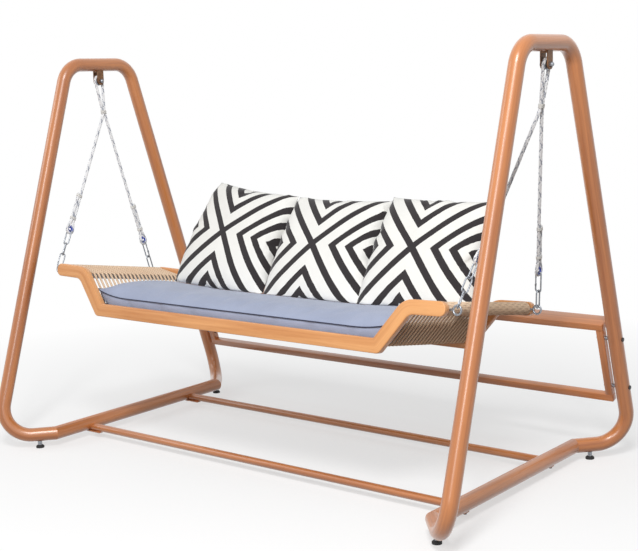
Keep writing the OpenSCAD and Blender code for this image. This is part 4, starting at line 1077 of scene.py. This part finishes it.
ends = [0.958, 0.973, 0.985, 0.994, 1]
even_part = 0.94
half_columns, half_rows = 36, 14
columns = [even_part * k / half_columns for k in range(-half_columns, half_columns + 1)]
columns = [-u for u in reversed(ends)] + columns + ends
rows = [k / half_rows for k in range(-half_rows, half_rows + 1)]
mesh, rims = shell("seat_cushion_cover", columns, rows, 3, cushion_top, cushion_bottom)
top_count = len(columns) * len(rows)
inflate(mesh, rims[0] + list(range(top_count, 2 * top_count)), 0.02, 4, 6 * mm)
set_lay(mesh, [v.co.copy() for v in mesh.vertices])
rim_points = [[in_seat @ mesh.vertices[k].co for k in rim] for rim in rims]
mesh.transform(in_seat)
mesh.shade_smooth()
cushion = put(mesh, ["seat_cushion"], cushion_cloth)
smooth = cushion.modifiers.new("smooth", "SUBSURF")
smooth.levels = smooth.render_levels = 1
welt = tube("seat_cushion_piping", rim_points, piping_r, 8, ring=True)
put(welt, [], piping_cloth, "seat")


# Loose pillows. Each is two square panels of heavy cotton sewn together at a knife edge and blown up with
# cloth physics, printed with a diagonal cross and chevrons nested in its four corners.
pillow_w = 490 * mm
pillow_h = 472 * mm
pillow_t = 140 * mm
pillow_places = {
    "left_pillow": ((-416, 506.6, 198.1), 23.5, 6.5),
    "middle_pillow": ((98, 499.2, 171.5), 25, 0),
    "right_pillow": ((604, 490, 186.6), 25, 0),
}
crossing = Vector((-26, -12)) * mm
stripe_pitch = 55 * mm
cross_share, stripe_share = 0.23, 0.47
pillow_cloth, tree, shader, lay, threads = fabric(
    "pillow_cloth", (246, 245, 240), (230, 229, 224), 0.8 * mm, 0.0002, 0.2
)
wander = noise_at(tree, lay, 240, 2)
parts = add(tree, "SeparateXYZ", Vector=lay).outputs
edge_shift = maths(tree, "MULTIPLY", maths(tree, "SUBTRACT", wander, 0.5), 0.7 * mm)
diagonals = [
    maths(tree, "ABSOLUTE", maths(tree, "MULTIPLY", maths(tree, way, parts[0], parts[1]), sqrt(0.5)))
    for way in ("ADD", "SUBTRACT")
]
from_arm = maths(tree, "MAXIMUM", maths(tree, "ADD", maths(tree, "MINIMUM", *diagonals), edge_shift), 0)
steps_out = maths(tree, "FLOOR", maths(tree, "DIVIDE", from_arm, stripe_pitch))
in_step = maths(tree, "SUBTRACT", from_arm, maths(tree, "MULTIPLY", steps_out, stripe_pitch))
past_cross = maths(tree, "MULTIPLY", maths(tree, "MINIMUM", steps_out, 1), stripe_share - cross_share)
share_dark = maths(tree, "MULTIPLY", maths(tree, "ADD", cross_share, past_cross), stripe_pitch)
printed = ramp(tree, maths(tree, "SUBTRACT", share_dark, in_step), -0.4 * mm, 0.4 * mm)
ink = mixed(tree, threads["Tone"], colour(28, 23, 25), colour(42, 36, 38))
ground = shader.inputs["Base Color"].links[0].from_socket
feed(tree, shader.inputs["Base Color"], mixed(tree, printed, ground, ink))

half_cells = 13
cells = [k / half_cells for k in range(-half_cells, half_cells + 1)]
puff, ruffle_depth = 12, 5
side_draw = -0.03
top_draw = 0.05
corner_sag = 52 * mm
sag_middle, sag_lean = 0.65, 0.3
foot_flare = 0.035
foot_slide = 8 * mm
ear_l = 27 * mm
ear_from_low, ear_from_side = 0.15, 0.5
ear_ruffle = 12 * mm
cloth_share = 0.7
seam_crease = 0.8
slope_cord_top = 10 * mm
arm_cord_top = 8 * mm
cushion_shape = BVHTree.FromPolygons(
    [in_seat.inverted() @ v.co for v in cushion.data.vertices], [p.vertices for p in cushion.data.polygons]
)


def resting_on(point):
    """Height of the cushion's top at a point of the seat, or of the cord beside it."""
    hit = cushion_shape.ray_cast(Vector((point.x, point.y, 1)), Vector((0, 0, -1)))[0]
    on_slope = slope_low.y + (abs(point.x) - slope_low.x) * tan(slope_turn) + slope_cord_top
    beside = min(on_slope, arm_cord_top)
    return max(hit.z, beside) if hit else beside


for k, (name, (middle, lean_back, roll)) in enumerate(pillow_places.items()):
    def panel(u, v, face=1, seed=k):
        """A point of a panel, slightly domed and ruffled before it is blown up."""
        dome = (1 - u * u) * (1 - v * v)
        ruffle = noise.noise(Vector((u * 3, v * 3, seed * 7 + face)))
        return u * pillow_w / 2, v * pillow_h / 2, face * dome * (puff + ruffle_depth * ruffle) * mm

    mesh, rims = shell(name + "_cover", cells, cells, 0, panel, lambda u, v: panel(u, v, -1))
    flat = [v.co.copy() for v in mesh.vertices]
    inflate(mesh, [], 0.03, 5, 90 * mm)
    thick = max(abs(v.co.z) for v in mesh.vertices)
    side_at = {}
    end_at = {}
    for n in rims[0]:
        blown, start = mesh.vertices[n].co, flat[n]
        if abs(abs(start.x) - pillow_w / 2) < 1e-6:
            side_at[round(start.y, 5), start.x > 0] = abs(blown.x)
        if abs(abs(start.y) - pillow_h / 2) < 1e-6:
            end_at[round(start.x, 5), start.y > 0] = abs(blown.y)
    for vertex, start in zip(mesh.vertices, flat):
        v = start.y / (pillow_h / 2)
        u = start.x / (pillow_w / 2)
        half_w = pillow_w / 2 * (1 - side_draw * (1 - v * v))
        half_h = pillow_h / 2 * (1 - (top_draw if v > 0 else 0) * (1 - u * u))
        vertex.co.x *= half_w / side_at[round(start.y, 5), start.x > 0 or start.x == 0]
        vertex.co.y *= half_h / end_at[round(start.x, 5), start.y > 0 or start.y == 0]
        vertex.co.z *= pillow_t / 2 / thick
    on_cloth = [cloth_share * v.co + (1 - cloth_share) * start for v, start in zip(mesh.vertices, flat)]
    set_lay(mesh, [(p.x - crossing.x, p.y - crossing.y, 0) for p in on_cloth])
    for vertex in mesh.vertices:
        low = max(0, -2 * vertex.co.y / pillow_h)
        ear = max(0, low - ear_from_low) * max(0, 2 * vertex.co.x / pillow_w - ear_from_side)
        ear /= (1 - ear_from_low) * (1 - ear_from_side)
        vertex.co.y -= corner_sag * low * (sag_middle - sag_lean * vertex.co.x / pillow_w)
        vertex.co.x += foot_flare * low * vertex.co.x + foot_slide * low + ear * ear_l
        vertex.co.z += ear * noise.noise(vertex.co * 60) * ear_ruffle
    mesh.transform(
        Matrix.Translation([c * mm for c in middle])
        @ Matrix.Rotation(radians(90 - lean_back), 4, "X") @ Matrix.Rotation(radians(-roll), 4, "Z")
    )
    for vertex in mesh.vertices:
        vertex.co.z = max(vertex.co.z, resting_on(vertex.co) + 1 * mm)
    mesh.transform(in_seat)
    mesh.shade_smooth()
    pillow = put(mesh, [name], pillow_cloth)
    seam_edges = set(frozenset(two) for two in zip(rims[0], rims[0][1:] + rims[0][:1]))
    crease = mesh.attributes.new("crease_edge", "FLOAT", "EDGE")
    creases = [seam_crease if frozenset(e.vertices) in seam_edges else 0 for e in mesh.edges]
    crease.data.foreach_set("value", creases)
    smooth = pillow.modifiers.new("smooth", "SUBSURF")
    smooth.levels = smooth.render_levels = 2
